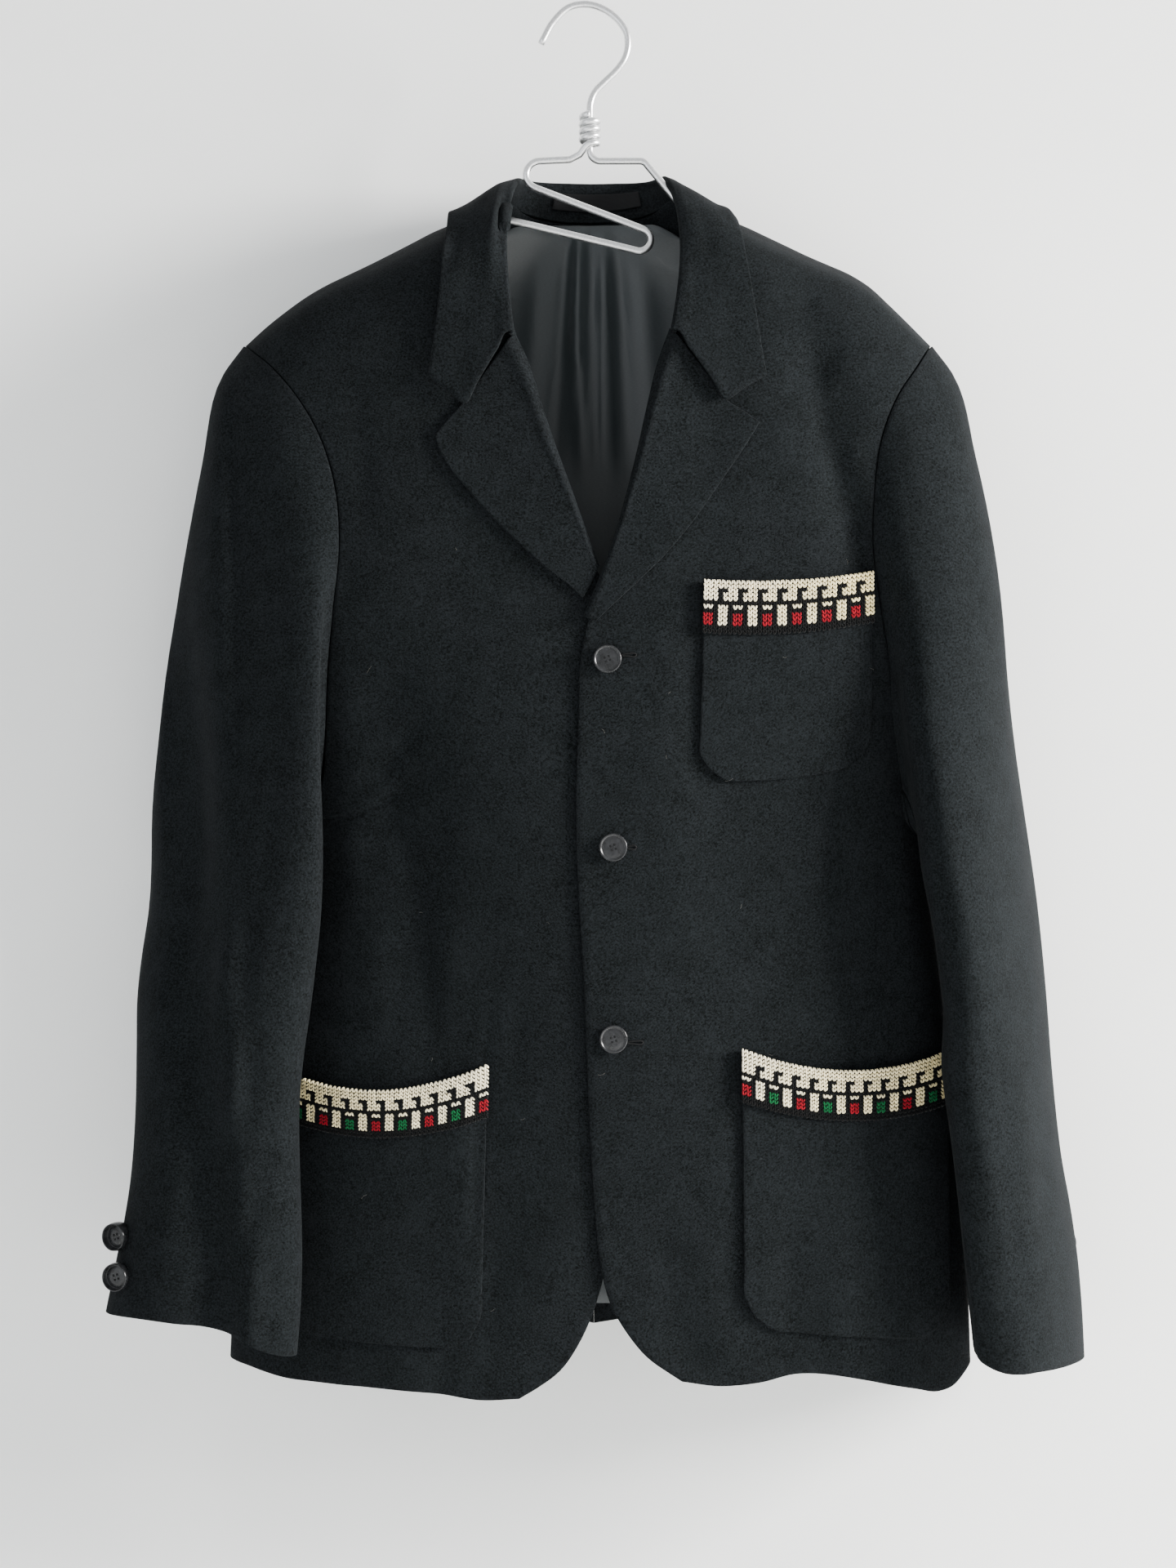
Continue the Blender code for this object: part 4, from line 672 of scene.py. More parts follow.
def creased_sleeve(grid, normal):
    """A sleeve grid with its creases pressed in from the front, and softer ones behind."""
    made = grid.copy()
    x, drop = grid[..., 0], -grid[..., 2]
    ahead, behind = (smoothstep(*FACING_FADE, sign * normal[..., 1]) for sign in (-1, 1))
    rows, steps = (np.linspace(0, 1, count) for count in grid.shape[:2])
    edges = smoothstep(0, CALM_STEPS, steps) * smoothstep(0, CALM_STEPS, 1 - steps)
    calm = np.outer(smoothstep(0, CALM_ROWS, rows), edges)
    made[..., 1] += pressed(x, drop, SLEEVE_CREASES) * ahead * calm
    made[..., 1] -= pressed(x, drop - BEHIND_LOWER, SLEEVE_CREASES) * BEHIND_SHARE * behind * calm
    uneven = ripple(x * RIPPLE_SHARE + RIPPLE_SHIFT, drop) * RIPPLE_SHARE
    made += normal * (uneven * calm)[..., None]
    return made


for node, cut in SLEEVE_CUT.items():
    side = node.split("_")[-1]
    grid, turn = sheet_grid(node, None, DOWN, AHEAD if "top" in node else BEHIND)
    grid = finer(grid, *SLEEVE_TIMES)
    grid = leaning(grid) if side == "left" else grid
    grid = creased_sleeve(grid, plain_normals(grid) * turn)
    add_cloth(node, grid, turn, SLEEVE_THICK, allowance=ARMHOLE_ALLOWANCE)

# %% [markdown]
# ## Collar and lapels
# The collar stands up from the neck seam, turns over and falls to its edge. The lapels are the
# fronts' own cloth turned back, and a slanting gorge seam joins them to the collar.

# %%
# Collar and lapels
COLLAR_TIMES, COLLAR_THICK, COLLAR_CUT = (6, 5), 1.9, (0.55, 0.103, 0.0317)
LAPEL_TIMES, LAPEL_CUT = (8, 7), (0.087, 0.191, 0.0077)
# How far a lapel's top edge rises to the gorge seam at the roll, and how much more at its point
GORGE_RISE, RISE_FADE = {"right": (1.8, 1.6), "left": (1.9, 0.2)}, 0.2

grid, turn = sheet_grid("collar", None, SIDES["left"], DOWN)
add_cloth("collar", finer(grid, *COLLAR_TIMES), turn, COLLAR_THICK)
for side, outwards in SIDES.items():
    grid, turn = sheet_grid(f"lapel_{side}", AHEAD, DOWN, outwards)
    grid = creased_front(finer(grid, *LAPEL_TIMES))
    rows, steps = (np.linspace(0, 1, count) for count in grid.shape[:2])
    at_roll, more = GORGE_RISE[side]
    rise = np.outer(1 - smoothstep(0, RISE_FADE, rows), at_roll + more * steps)
    grid -= unit(np.gradient(grid, axis=0)) * rise[..., None]
    add_cloth(f"lapel_{side}", grid, turn, WOOL_THICK)

# %% [markdown]
# ## Patch pockets
# Three pockets are cut from the same wool, turned in and sewn flat on the fronts. They share the
# fronts' creases, so each follows the cloth below it.

# %%
# Patch pockets
POCKET_TIMES, POCKET_THICK = (7, 7), 1.8
POCKET_CUT = {
    "chest_pocket": (0.115, 0.127, 0.0138), "hip_pocket_left": (0.150, 0.180, 0.0241),
    "hip_pocket_right": (0.144, 0.176, 0.0220),
}
pockets = []
for node, cut in POCKET_CUT.items():
    grid, turn = sheet_grid(node, AHEAD, DOWN, SIDES["left"])
    grid = creased_front(finer(grid, *POCKET_TIMES))
    pockets.append(add_cloth(node, grid, turn, POCKET_THICK))

# %% [markdown]
# ## Knitted bands
# Each pocket is topped by a band of stranded colourwork in woollen yarn. The chart is a short rule:
# Each pocket is topped by a band of stranded colourwork in woollen yarn. One stitch is two plump
# legs in a V. It could be modelled again for every loop, but Geometry Nodes set the same one on a
# grid of points that carry its colour and size, which keeps every row even.


# %%
# Yarn and stitch
def yarn_material():
    """Two-ply woollen knitting yarn: the stitch's own colour with fuzzy, twisted fibres."""
    made, tree, shader = new_material(
        "two-ply woollen knitting yarn", Roughness=0.9, Specular_IOR_Level=0.06, Sheen_Weight=0.05,
        Sheen_Roughness=0.6,
    )
    tint = add_node(tree, "ShaderNodeAttribute", {"attribute_name": "tint"}).outputs["Color"]
    fibre = add_node(
        tree, "ShaderNodeTexNoise", Vector=own_place(tree), Scale=1500.0, Detail=3.0, Roughness=0.7,
    ).outputs["Fac"]
    shade = add_node(tree, "ShaderNodeMapRange", Value=fibre, To_Min=0.68, To_Max=1.25).outputs["Result"]
    mixed = add_node(
        tree, "ShaderNodeMix", {"data_type": "RGBA", "blend_type": "MULTIPLY"}, i0=1.0, i6=tint, i7=shade,
    )
    tree.links.new(mixed.outputs[2], shader.inputs["Base Color"])
    emboss(tree, shader, fibre, 0.5, 0.0004)
    return made


def tube_faces(first, rings, sides, ends="closed"):
    """Faces round a tube's rings of points, whose ends are closed, open, or joined to each other."""
    faces = []
    for ring in range(rings if ends == "joined" else rings - 1):
        here, ahead = first + ring * sides, first + (ring + 1) % rings * sides
        for side in range(sides):
            beside = (side + 1) % sides
            faces.append((here + side, here + beside, ahead + beside, ahead + side))
    if ends == "closed":
        last = first + (rings - 1) * sides
        faces += [tuple(range(first + sides - 1, first - 1, -1)), tuple(range(last, last + sides))]
    return faces


def circle(sides):
    """Cosine and sine of each of a circle's points."""
    turns = [2 * math.pi * side / sides for side in range(sides)]
    return [(math.cos(turn), math.sin(turn)) for turn in turns]


YARN = yarn_material()
LEG_SIDES, LEG_WIDTH = 6, 0.92
# The middle of a leg from foot to tip: x, y, radius there, and z
LEG_SHAPE = (
    (0.03, -0.60, 0.12, -0.24), (0.13, -0.30, 0.205, 0.04), (0.25, 0.04, 0.235, 0.14),
    (0.32, 0.36, 0.19, 0.02), (0.33, 0.60, 0.10, -0.28),
)


def stitch_mesh():
    """One knit stitch in units of its own width and height: two tapering legs in a V."""
    vertices, faces = [], []
    for sign in (-1, 1):
        faces += tube_faces(len(vertices), len(LEG_SHAPE), LEG_SIDES)
        for x, y, radius, z in LEG_SHAPE:
            for across, up in circle(LEG_SIDES):
                vertices.append((sign * x + radius * LEG_WIDTH * across, y, z + radius * up))
    mesh = bpy.data.meshes.new("knit_stitch")
    mesh.from_pydata(vertices, [], faces)
    mesh.shade_smooth()
    return mesh


def stitch_nodes():
    """Geometry nodes that set a stitch on each point, turned and sized by the point's values."""
    tree = bpy.data.node_groups.new("knit_stitches", "GeometryNodeTree")
    for name, way, kind in (
        ("Geometry", "INPUT", "Geometry"), ("Stitch", "INPUT", "Object"), ("Yarn", "INPUT", "Material"),
        ("Geometry", "OUTPUT", "Geometry"),
    ):
        tree.interface.new_socket(name, in_out=way, socket_type=f"NodeSocket{kind}")
    given = add_node(tree, "NodeGroupInput")
    info = add_node(tree, "GeometryNodeObjectInfo", Object=given.outputs["Stitch"])
    out, across, size = (
        add_node(tree, "GeometryNodeInputNamedAttribute", {"data_type": "FLOAT_VECTOR"}, Name=name).outputs[0]
        for name in ("out", "across", "size")
    )
    turned = add_node(
        tree, "FunctionNodeAxesToRotation", {"primary_axis": "Z", "secondary_axis": "X"}, i0=out, i1=across,
    )
    placed = add_node(
        tree, "GeometryNodeInstanceOnPoints", Points=given.outputs["Geometry"],
        Instance=info.outputs["Geometry"], Rotation=turned.outputs[0], Scale=size,
    )
    real = add_node(tree, "GeometryNodeRealizeInstances", Geometry=placed.outputs[0])
    dyed = add_node(tree, "GeometryNodeSetMaterial", Geometry=real.outputs[0], Material=given.outputs["Yarn"])
    add_node(tree, "NodeGroupOutput", Geometry=dyed.outputs[0])
    return tree


STITCH = bpy.data.objects.new("knit_stitch", stitch_mesh())
STITCH_NODES = stitch_nodes()
print("a stitch has", len(STITCH.data.polygons), "faces")

# %% [markdown]
# The chart is a short rule, worked from the front edge outwards: cream rows, black bars every four
# stitches, a black line, then blocks of colour between cream pillars every six.

# %%
# Colour chart
# The second cream is painted shade: plain cream stitches turn darker and yellower towards each band's outer
# end.
CREAM, CREAM_PAINTED_SHADE, KNIT_BLACK = "#f6ecd0", "#eadba6", "#040404"
KNIT_RED, KNIT_GREEN = "#86061a", "#07552d"
BAR_REPEAT, BLOCK_REPEAT, BLOCK_ROWS = 4, 6, (2, 3, 4)


def chart(from_low, column, blocks):
    """The yarn of one stitch: a hex code, or None for cream. Rows are counted from the lower edge."""
    block, place = blocks[(column // BLOCK_REPEAT) % len(blocks)], column % BLOCK_REPEAT
    bar = column % BAR_REPEAT == BAR_REPEAT - 1
    black = {
        0: True, 1: True, 5: place not in (3, 4), 6: place in (2, 5), 7: True, 8: bar, 9: bar,
        10: bar or (column > 0 and column % BAR_REPEAT == 0),
    }
    if from_low in BLOCK_ROWS:
        return (block, block, KNIT_BLACK, None, None, KNIT_BLACK)[place]
    return KNIT_BLACK if black.get(from_low) else None


one_repeat = [chart(BLOCK_ROWS[0], column, (KNIT_RED,)) or CREAM for column in range(BLOCK_REPEAT)]
print("one repeat of the blocks:", one_repeat)

# %% [markdown]
# Each band is a thin backing on its CAD form with the stitches set on it. Their places, sizes and
# shades vary a little from a fixed seed, since hand knitting is never quite even. The wearer's right
# hip band was sewn on upside down, so its stitches point up.

# %%
# Knitted bands
KNIT_TIMES, KNIT_THICK, BAND_SINK, STITCH_SINK = (8, 7), 2.6, 1.0, 0.75
PLACE_SPREAD, WIDE_SPREAD, TALL_SPREAD, SHADE_SPREAD = 0.14, (0.94, 1.06), (0.95, 1.05), (0.78, 1.12)
TWO_BLOCKS = (KNIT_RED, KNIT_GREEN)
BANDS = {
    "chest_knit_band": dict(
        columns=35, rows=13, way="left", legs=1, blocks=(KNIT_RED,), flat=(0.113, 0.034), area=0.0038,
    ),
    "hip_knit_band_left": dict(
        columns=48, rows=14, way="left", legs=1, blocks=TWO_BLOCKS, flat=(0.155, 0.035), area=0.0050,
    ),
    "hip_knit_band_right": dict(
        columns=48, rows=14, way="right", legs=-1, blocks=TWO_BLOCKS, flat=(0.147, 0.034), area=0.0045,
    ),
}


def at_share(values, down, across):
    """Values of a grid at shares of its rows and steps."""
    row, step = down * (len(values) - 1), across * (values.shape[1] - 1)
    r, s = np.minimum(row.astype(int), len(values) - 2), np.minimum(step.astype(int), values.shape[1] - 2)
    fr, fs = (row - r)[:, None], (step - s)[:, None]
    near = values[r, s] * (1 - fs) + values[r, s + 1] * fs
    far = values[r + 1, s] * (1 - fs) + values[r + 1, s + 1] * fs
    return near * (1 - fr) + far * fr


def stitch_points(node, band, grid, normal):
    """A point for each stitch, with its facing, its way across, its size and its tint."""
    rows, columns = band["rows"], band["columns"]
    row, column = (part.ravel() for part in np.mgrid[0:rows, 0:columns])
    down, across = (row + 0.5) / rows, (column + 0.5) / columns
    centre = at_share(grid - normal * STITCH_SINK, down, across)
    side_way = at_share(np.gradient(grid, axis=1), down, across) * grid.shape[1] / columns
    down_way = at_share(np.gradient(grid, axis=0), down, across) * len(grid) / rows
    out = at_share(normal, down, across)
    rng = np.random.default_rng(len(node))
    centre += rng.uniform(-PLACE_SPREAD, PLACE_SPREAD, centre.shape)
    wide = np.linalg.norm(side_way, axis=1) * rng.uniform(*WIDE_SPREAD, len(row))
    tall = np.linalg.norm(down_way, axis=1) * rng.uniform(*TALL_SPREAD, len(row))
    size = np.stack([wide, tall, wide * 0.95], axis=1) * MM
    upright = np.cross(out, unit(side_way))[:, 2].mean() * band["legs"]
    across_way = unit(side_way) * (1 if upright > 0 else -1)
    # Plain cream stitches blend towards the painted-shade cream with their share of the way out from the
    # front edge.
    near_cream, shaded_cream = np.array(colour(CREAM)), np.array(colour(CREAM_PAINTED_SHADE))
    tints = []
    for here, there in zip(row, column):
        code, far = chart(rows - 1 - here, there, band["blocks"]), there / columns
        tint = np.array(colour(code)) if code else near_cream * (1 - far) + shaded_cream * far
        tints.append([*(tint[:3] * rng.uniform(*SHADE_SPREAD)), 1.0])
    points = bpy.data.meshes.new(f"{node}_points")
    points.from_pydata((centre * MM).tolist(), [], [])
    for name, values in (("out", out), ("across", across_way), ("size", size)):
        points.attributes.new(name, "FLOAT_VECTOR", "POINT").data.foreach_set("vector", values.ravel())
    points.attributes.new("tint", "FLOAT_COLOR", "POINT").data.foreach_set("color", np.ravel(tints))
    return points


def knitted(name, points):
    """One mesh of all the points' stitches, worked out by the geometry nodes."""
    holder = bpy.data.objects.new(name, points)
    bpy.context.scene.collection.objects.link(holder)
    modifier = holder.modifiers.new("stitches", "NODES")
    modifier.node_group = STITCH_NODES
    inputs = [item for item in STITCH_NODES.interface.items_tree if item.in_out == "INPUT"]
    sockets = {item.name: item.identifier for item in inputs}
    modifier[sockets["Stitch"]] = STITCH
    modifier[sockets["Yarn"]] = YARN
    bpy.context.view_layer.update()
    evaluated = holder.evaluated_get(bpy.context.evaluated_depsgraph_get())
    mesh = bpy.data.meshes.new_from_object(evaluated)
    bpy.data.objects.remove(holder, do_unlink=True)
    return mesh


for node, band in BANDS.items():
    grid, turn = sheet_grid(node, AHEAD, DOWN, SIDES[band["way"]])
    grid = creased_front(finer(grid, *KNIT_TIMES))
    normal = plain_normals(grid) * turn
    backing = wall_mesh(f"{node}_backing", grid - normal * BAND_SINK, normal, KNIT_THICK - BAND_SINK)
    base = add_piece(f"{node}_backing", backing, BLACK_WOOL, "knit_wool", [node])
    knit = knitted(f"{node}_knit", stitch_points(node, band, grid, normal))
    add_piece(f"{node}_knit", knit, YARN, "knit_wool")
    print(node, "has", band["rows"] * band["columns"], "stitches and", len(knit.polygons), "faces")

# %% [markdown]
# ## Lining and label
# Satin lining with a pleat at the centre back shows in the neck and below the rounded quarters.
# The woven label on the collar stand is bare.

# %%
# Satin lining and woven label
LINING_CREASES = (
    (2, 140, 2, 300, 1.2, -1.6),
    (-6, 140, -8, 230, 4.0, 7.0),
    (-14, 150, -24, 300, 4.5, -3.5),
    (-8, 200, -2, 300, 4.0, 5.0),
    (11, 150, 12, 300, 3.5, 4.0),
    (20, 150, 26, 300, 5.0, -3.0),
    (-32, 160, -46, 310, 8.0, 3.0),
    (36, 160, 48, 310, 8.0, 2.6),
    (8, 185, 22, 208, 2.5, 1.0),
)
LINING_TIMES, LINING_THICK, LINING_CUT = (8, 6), 1.0, (0.439, 0.796, 0.283)
LABEL_TIMES, LABEL_THICK, LABEL_CUT = (4, 8), 0.8, (0.061, 0.013, 0.00074)


def satin_material():
    """Viscose lining satin: smooth filament threads with long floats, glossy along the weft."""
    made, tree, shader = new_material(
        "dark viscose lining satin", Roughness=0.42, Anisotropic=0.5, Sheen_Weight=0.1,
    )
    stretched = add_node(tree, "ShaderNodeMapping", Vector=cloth_place(tree), Scale=(500.0, 5200.0, 1.0))
    floats = add_node(tree, "ShaderNodeTexNoise", Vector=stretched.outputs[0], Scale=1.0, Detail=2.0)
    dye(tree, shader, floats.outputs["Fac"], (0.3, "#22272a"), (0.7, "#31383a"))
    emboss(tree, shader, floats.outputs["Fac"], 0.25, 0.0001)
    return made


def label_material():
    """Black woven label taffeta with a fine cross rib."""
    made, tree, shader = new_material("black woven label taffeta", Roughness=0.8, Specular_IOR_Level=0.12)
    rib = add_node(
        tree, "ShaderNodeTexWave", {"bands_direction": "Y"}, Vector=cloth_place(tree), Scale=420.0,
        Distortion=0.6,
    )
    dye(tree, shader, rib.outputs["Fac"], (0.0, "#0b0b0c"), (1.0, "#191a1b"))
    emboss(tree, shader, rib.outputs["Fac"], 0.4, 0.0001)
    return made


grid, turn = sheet_grid("back_lining", AHEAD, DOWN, SIDES["left"])
grid = finer(grid, *LINING_TIMES)
grid[..., 1] -= pressed(grid[..., 0], -grid[..., 2], LINING_CREASES)
satin = (satin_material(), "lining_satin")
add_cloth("back_lining", grid, turn, LINING_THICK, satin)
grid, turn = sheet_grid("neck_label", AHEAD, DOWN, SIDES["left"])
woven = (label_material(), "woven_label")
grid = finer(grid, *LABEL_TIMES)
add_cloth("neck_label", grid, turn, LABEL_THICK, woven)

# %% [markdown]
# ## Buttons
# Turned and polished buttons of dark horn look: a raised rim round a shallow dish with four sewing
# holes. The holes are not cut: each is a flat disc of dark sewing thread on the dish, partly the
# thread's own black and partly painted shade of the hole. Each takes the place, slant and size of
# its CAD button.

# %%
# Polished buttons
BUTTON_SIDES, CUFF_TURN, RIM_SHARE = 64, 1.2, 0.8
# Radius and height of the turned form, in shares of the button's own
BUTTON_PROFILE = (
    (0.0, 0.66), (0.40, 0.66), (0.70, 0.67), (0.77, 0.58), (0.82, 0.60), (0.87, 0.90), (0.91, 1.0),
    (0.95, 0.96), (0.99, 0.76), (1.0, 0.5), (0.97, 0.25), (0.85, 0.05), (0.6, 0.0), (0.0, 0.0),
)
# The sewing holes are flat dark discs of thread: partly black thread, partly painted shade of the holes.
HOLE_AT, HOLE_RADIUS, HOLE_TURN, HOLE_SIDES = 0.15, 0.088, 0.35, 16
HOLE_PROFILE = ((0, 0.675), (0.85, 0.675), (1.0, 0.668), (1.0, 0.3), (0, 0.3))


def button_material():
    """Polished dark grey horn: cloudy streaks under a clear, buffed surface."""
    made, tree, shader = new_material("polished dark horn", Roughness=0.24, Specular_IOR_Level=0.35)
    cloud = add_node(
        tree, "ShaderNodeTexNoise", Vector=own_place(tree), Scale=170.0, Detail=3.0, Distortion=1.2,
    )
    dye(tree, shader, cloud.outputs["Fac"], (0.3, "#141516"), (0.75, "#28292b"))
    return made


def thread_material(name, dark, light):
    """Waxed polyester sewing thread with a fine twist."""
    made, tree, shader = new_material(name, Roughness=0.8, Specular_IOR_Level=0.12)
    twist = add_node(
        tree, "ShaderNodeTexWave", {"bands_direction": "DIAGONAL"}, Vector=own_place(tree), Scale=900.0,
    )
    dye(tree, shader, twist.outputs["Fac"], (0.0, dark), (1.0, light))
    return made


def turned_part(profile, sides):
    """Points and faces of a profile turned round Z, closed at both poles."""
    points = [(0.0, 0.0, profile[0][1])]
    for radius, height in profile[1:-1]:
        points += [(radius * across, radius * up, height) for across, up in circle(sides)]
    last = len(points)
    points.append((0.0, 0.0, profile[-1][1]))
    faces = tube_faces(1, len(profile) - 2, sides, "open")
    for side in range(sides):
        beside = (side + 1) % sides
        faces += [(0, 1 + beside, 1 + side), (last - sides + side, last - sides + beside, last)]
    return points, faces


def placed_mesh(name, points, faces, matrix=Matrix()):
    """A smooth mesh of the points moved by the matrix, its faces turned outward."""
    mesh = bpy.data.meshes.new(name)
    mesh.from_pydata([matrix @ Vector(point) for point in points], [], faces)
    shape = bmesh.new()
    shape.from_mesh(mesh)
    bmesh.ops.recalc_face_normals(shape, faces=shape.faces)
    shape.to_mesh(mesh)
    shape.free()
    mesh.shade_smooth()
    return mesh


def button_place(node):
    """A matrix from a button's own sizes to its place, its Z facing out of the cloth."""
    points = np.array([tuple(vertex.co) for vertex in frame["nodes"][node].data.vertices])
    middle = (points.min(axis=0) + points.max(axis=0)) / 2
    axis = np.linalg.eigh(np.cov((points - middle).T))[1][:, 0]
    axis = axis if axis[1] < 0 else -axis
    axis = unit(axis + np.array((0.0, -CUFF_TURN, 0.0))) if "cuff" in node else axis
    along = (points - middle) @ axis
    away = np.linalg.norm(points - middle - np.outer(along, axis), axis=1)
    radius = away.max()
    wide = along[away > radius * RIM_SHARE]
    out = Vector(axis)
    side = Vector((1, 0, 0)) - out * out.x
    side.normalize()
    spin = Matrix((side, out.cross(side), out)).transposed().to_4x4()
    start = Vector(middle) + out * float(wide.min())
    depth = float(along.max() - wide.min())
    return Matrix.Translation(start) @ spin @ Matrix.Diagonal((radius, radius, depth, 1.0))


BUTTON_HORN = button_material()
THREAD = thread_material("black sewing thread", "#030303", "#171819")
BUTTON_NODES = ["front_button_1", "front_button_2", "front_button_3"]
BUTTON_NODES += [f"cuff_button_{side}_{number}" for side in ("left", "right") for number in (1, 2)]
for node in BUTTON_NODES:
    place = button_place(node)
    mesh = placed_mesh(f"{node}_turned", *turned_part(BUTTON_PROFILE, BUTTON_SIDES), place)
    add_piece(f"{node}_turned", mesh, BUTTON_HORN, "polished_button", [node])
    # Dark thread discs at the four holes, partly the thread's own black and partly painted shade of the
    # holes.
    points, faces = [], []
    for x_sign, y_sign in ((-1, -1), (1, -1), (-1, 1), (1, 1)):
        ring, sides = turned_part(HOLE_PROFILE, HOLE_SIDES)
        faces += [tuple(corner + len(points) for corner in face) for face in sides]
        x = HOLE_AT * (x_sign * math.cos(HOLE_TURN) - y_sign * math.sin(HOLE_TURN))
        y = HOLE_AT * (x_sign * math.sin(HOLE_TURN) + y_sign * math.cos(HOLE_TURN))
        points += [(a * HOLE_RADIUS + x, b * HOLE_RADIUS + y, c) for a, b, c in ring]
    mesh = placed_mesh(f"{node}_thread", points, faces, place)
    add_piece(f"{node}_thread", mesh, THREAD, "polished_button")
print(len(BUTTON_NODES), "buttons")

# %% [markdown]
# ## Buttonholes
# Each front button comes through a keyhole buttonhole, worked in close stitches of twisted silk. It
# shows to the right of the button, a raised loop of thread round a dark slit.

# %%
# Keyhole buttonholes
# Where each one starts and ends across, and its drop, in mm
BUTTONHOLES = ((21.5, 30.5, 430.0), (24.0, 30.5, 552.0), (24.0, 35.0, 676.0))
CORD_RADIUS, CORD_SINK, CORD_STEPS, CORD_SIDES = 0.6, 0.6, 40, 6
SLIT_HALF, EYE_MORE, EYE_FROM = 0.75, 0.75, (0.3, 0.95)
BEFORE_JACKET = -0.3


def surface_tree(pieces):
    """A search tree over the pieces' faces, to find the cloth's surface."""
    points, faces = [], []
    for piece in pieces:
        first = len(points)
        points += [vertex.co.copy() for vertex in piece.data.vertices]
        faces += [tuple(first + corner for corner in face.vertices) for face in piece.data.polygons]
    return BVHTree.FromPolygons(points, faces)


FRONT_SURFACE = surface_tree([*panels, *pockets])


def on_front(x, drop):
    """The place on the fronts' outer side that the viewer sees at x and drop, in mm."""
    hit = FRONT_SURFACE.ray_cast(Vector((x * MM, BEFORE_JACKET, -drop * MM)), Vector(BEHIND))[0]
    return np.array(hit) / MM


for number, (x_start, x_end, drop) in enumerate(BUTTONHOLES, 1):
    loop = []
    for across, up in circle(CORD_STEPS):
        eye = SLIT_HALF + EYE_MORE * smoothstep(*EYE_FROM, (across + 1) / 2)
        x = (x_start + x_end) / 2 + (x_end - x_start) / 2 * across
        loop.append(on_front(x, drop + eye * up) + np.array((0, -CORD_RADIUS * CORD_SINK, 0)))
    points = []
    for step, place in enumerate(loop):
        way = unit(loop[(step + 1) % CORD_STEPS] - loop[step - 1])
        side = unit(np.cross(way, BEHIND))
        for across, up in circle(CORD_SIDES):
            points.append(tuple((place + CORD_RADIUS * (across * side + up * np.cross(way, side))) * MM))
    mesh = placed_mesh(f"buttonhole_{number}", points, tube_faces(0, CORD_STEPS, CORD_SIDES, "joined"))
    add_piece(f"buttonhole_{number}", mesh, THREAD, "black_wool")
print(len(BUTTONHOLES), "buttonholes")

# %% [markdown]
# ## Lint
# Black wool never stays quite clean: a few pale stray fibres lie on the fronts and pockets, each a
# short bent hair far thinner than the yarn.

# %%
# Stray fibres
HAIR_COUNT, HAIR_POINTS, HAIR_SIDES = 18, 7, 4
HAIR_RADIUS, HAIR_LIFT, HAIR_TWIST = 0.05, 0.1, 0.02
HAIR_ACROSS, HAIR_DROP, HAIR_LENGTH, HAIR_BEND = (-150, 190), (330, 860), (2.0, 6.5), (-0.25, 0.25)
hair_rng = np.random.default_rng(11)
points, faces = [], []
for _ in range(HAIR_COUNT):
    x, drop = hair_rng.uniform(*HAIR_ACROSS), hair_rng.uniform(*HAIR_DROP)
    heading, bend = hair_rng.uniform(0, 2 * math.pi), hair_rng.uniform(*HAIR_BEND)
    length = hair_rng.uniform(*HAIR_LENGTH)
    faces += tube_faces(len(points), HAIR_POINTS, HAIR_SIDES, "open")
    for _ in range(HAIR_POINTS):
        place = on_front(x, drop) + np.array((0.0, -HAIR_RADIUS - HAIR_LIFT, 0.0))
        for side, (across, up) in enumerate(circle(HAIR_SIDES)):
            edge = np.array((across * HAIR_RADIUS, HAIR_TWIST * side, up * HAIR_RADIUS))
            points.append(tuple((place + edge) * MM))
        x += math.cos(heading) * length / HAIR_POINTS
        drop += math.sin(heading) * length / HAIR_POINTS
        heading += bend
LINT = thread_material("stray pale wool fibre", "#55534f", "#8c8981")
add_piece("lint_fibres", placed_mesh("lint_fibres", points, faces), LINT, "black_wool")
print(HAIR_COUNT, "stray fibres")

# %% [markdown]
# ## Hanger
# One length of drawn aluminium wire, satin finished: a hook, a wound neck and sloping arms. A round
# section is swept along straight runs and true bends, and the hidden arms follow the CAD wire.

# %%
# Satin aluminium hanger
WIRE_RADIUS, WIRE_SIDES, WIRE_STEP = 2.35, 14, 0.3
# X and Z of the hook's middle line, from its tip to the neck
HOOK_POINTS = (
    (-31, -24), (-22.5, -9), (-12.5, 0), (0, 2), (11.8, -2), (20.4, -9), (25.6, -17.5), (26.3, -25),
    (24.3, -33.5), (19.2, -41), (11, -49), (4.4, -56), (1.6, -63), (1.2, -72),
)
NECK_CENTRE, COIL_RADIUS, COIL_TOP, COIL_PITCH, COIL_TURNS, COIL_STEPS = 1.2, 5.1, -71.5, 4.8, 4, 24
COIL_END = [(-1.6, -3.9, -92.5), (-5.5, -2.3, -97.5), (-12.0, -0.7, -100.4)]
ARM_REACHES, ARM_NEAR = (66, 95, 130, 165, 192), 24


def aluminium_material():
    """Drawn aluminium wire with a satin finish and fine marks along it."""
    made, tree, shader = new_material("satin drawn aluminium wire", Metallic=1.0)
    marks = add_node(tree, "ShaderNodeTexNoise", Vector=own_place(tree), Scale=900.0, Detail=2.0)
    dye(tree, shader, marks.outputs["Fac"], (0.3, "#d2d3d4"), (0.7, "#ececec"))
    worn = add_node(tree, "ShaderNodeMapRange", Value=marks.outputs["Fac"], To_Min=0.26, To_Max=0.42)
    tree.links.new(worn.outputs["Result"], shader.inputs["Roughness"])
    return made


def arc(x, z, radius, start, end, steps=14):
    """Points round a bend in the hanger's plane, angles in degrees."""
    turns = [math.radians(start + (end - start) * step / steps) for step in range(steps + 1)]
    return [(x + radius * math.cos(turn), 0.0, z + radius * math.sin(turn)) for turn in turns]


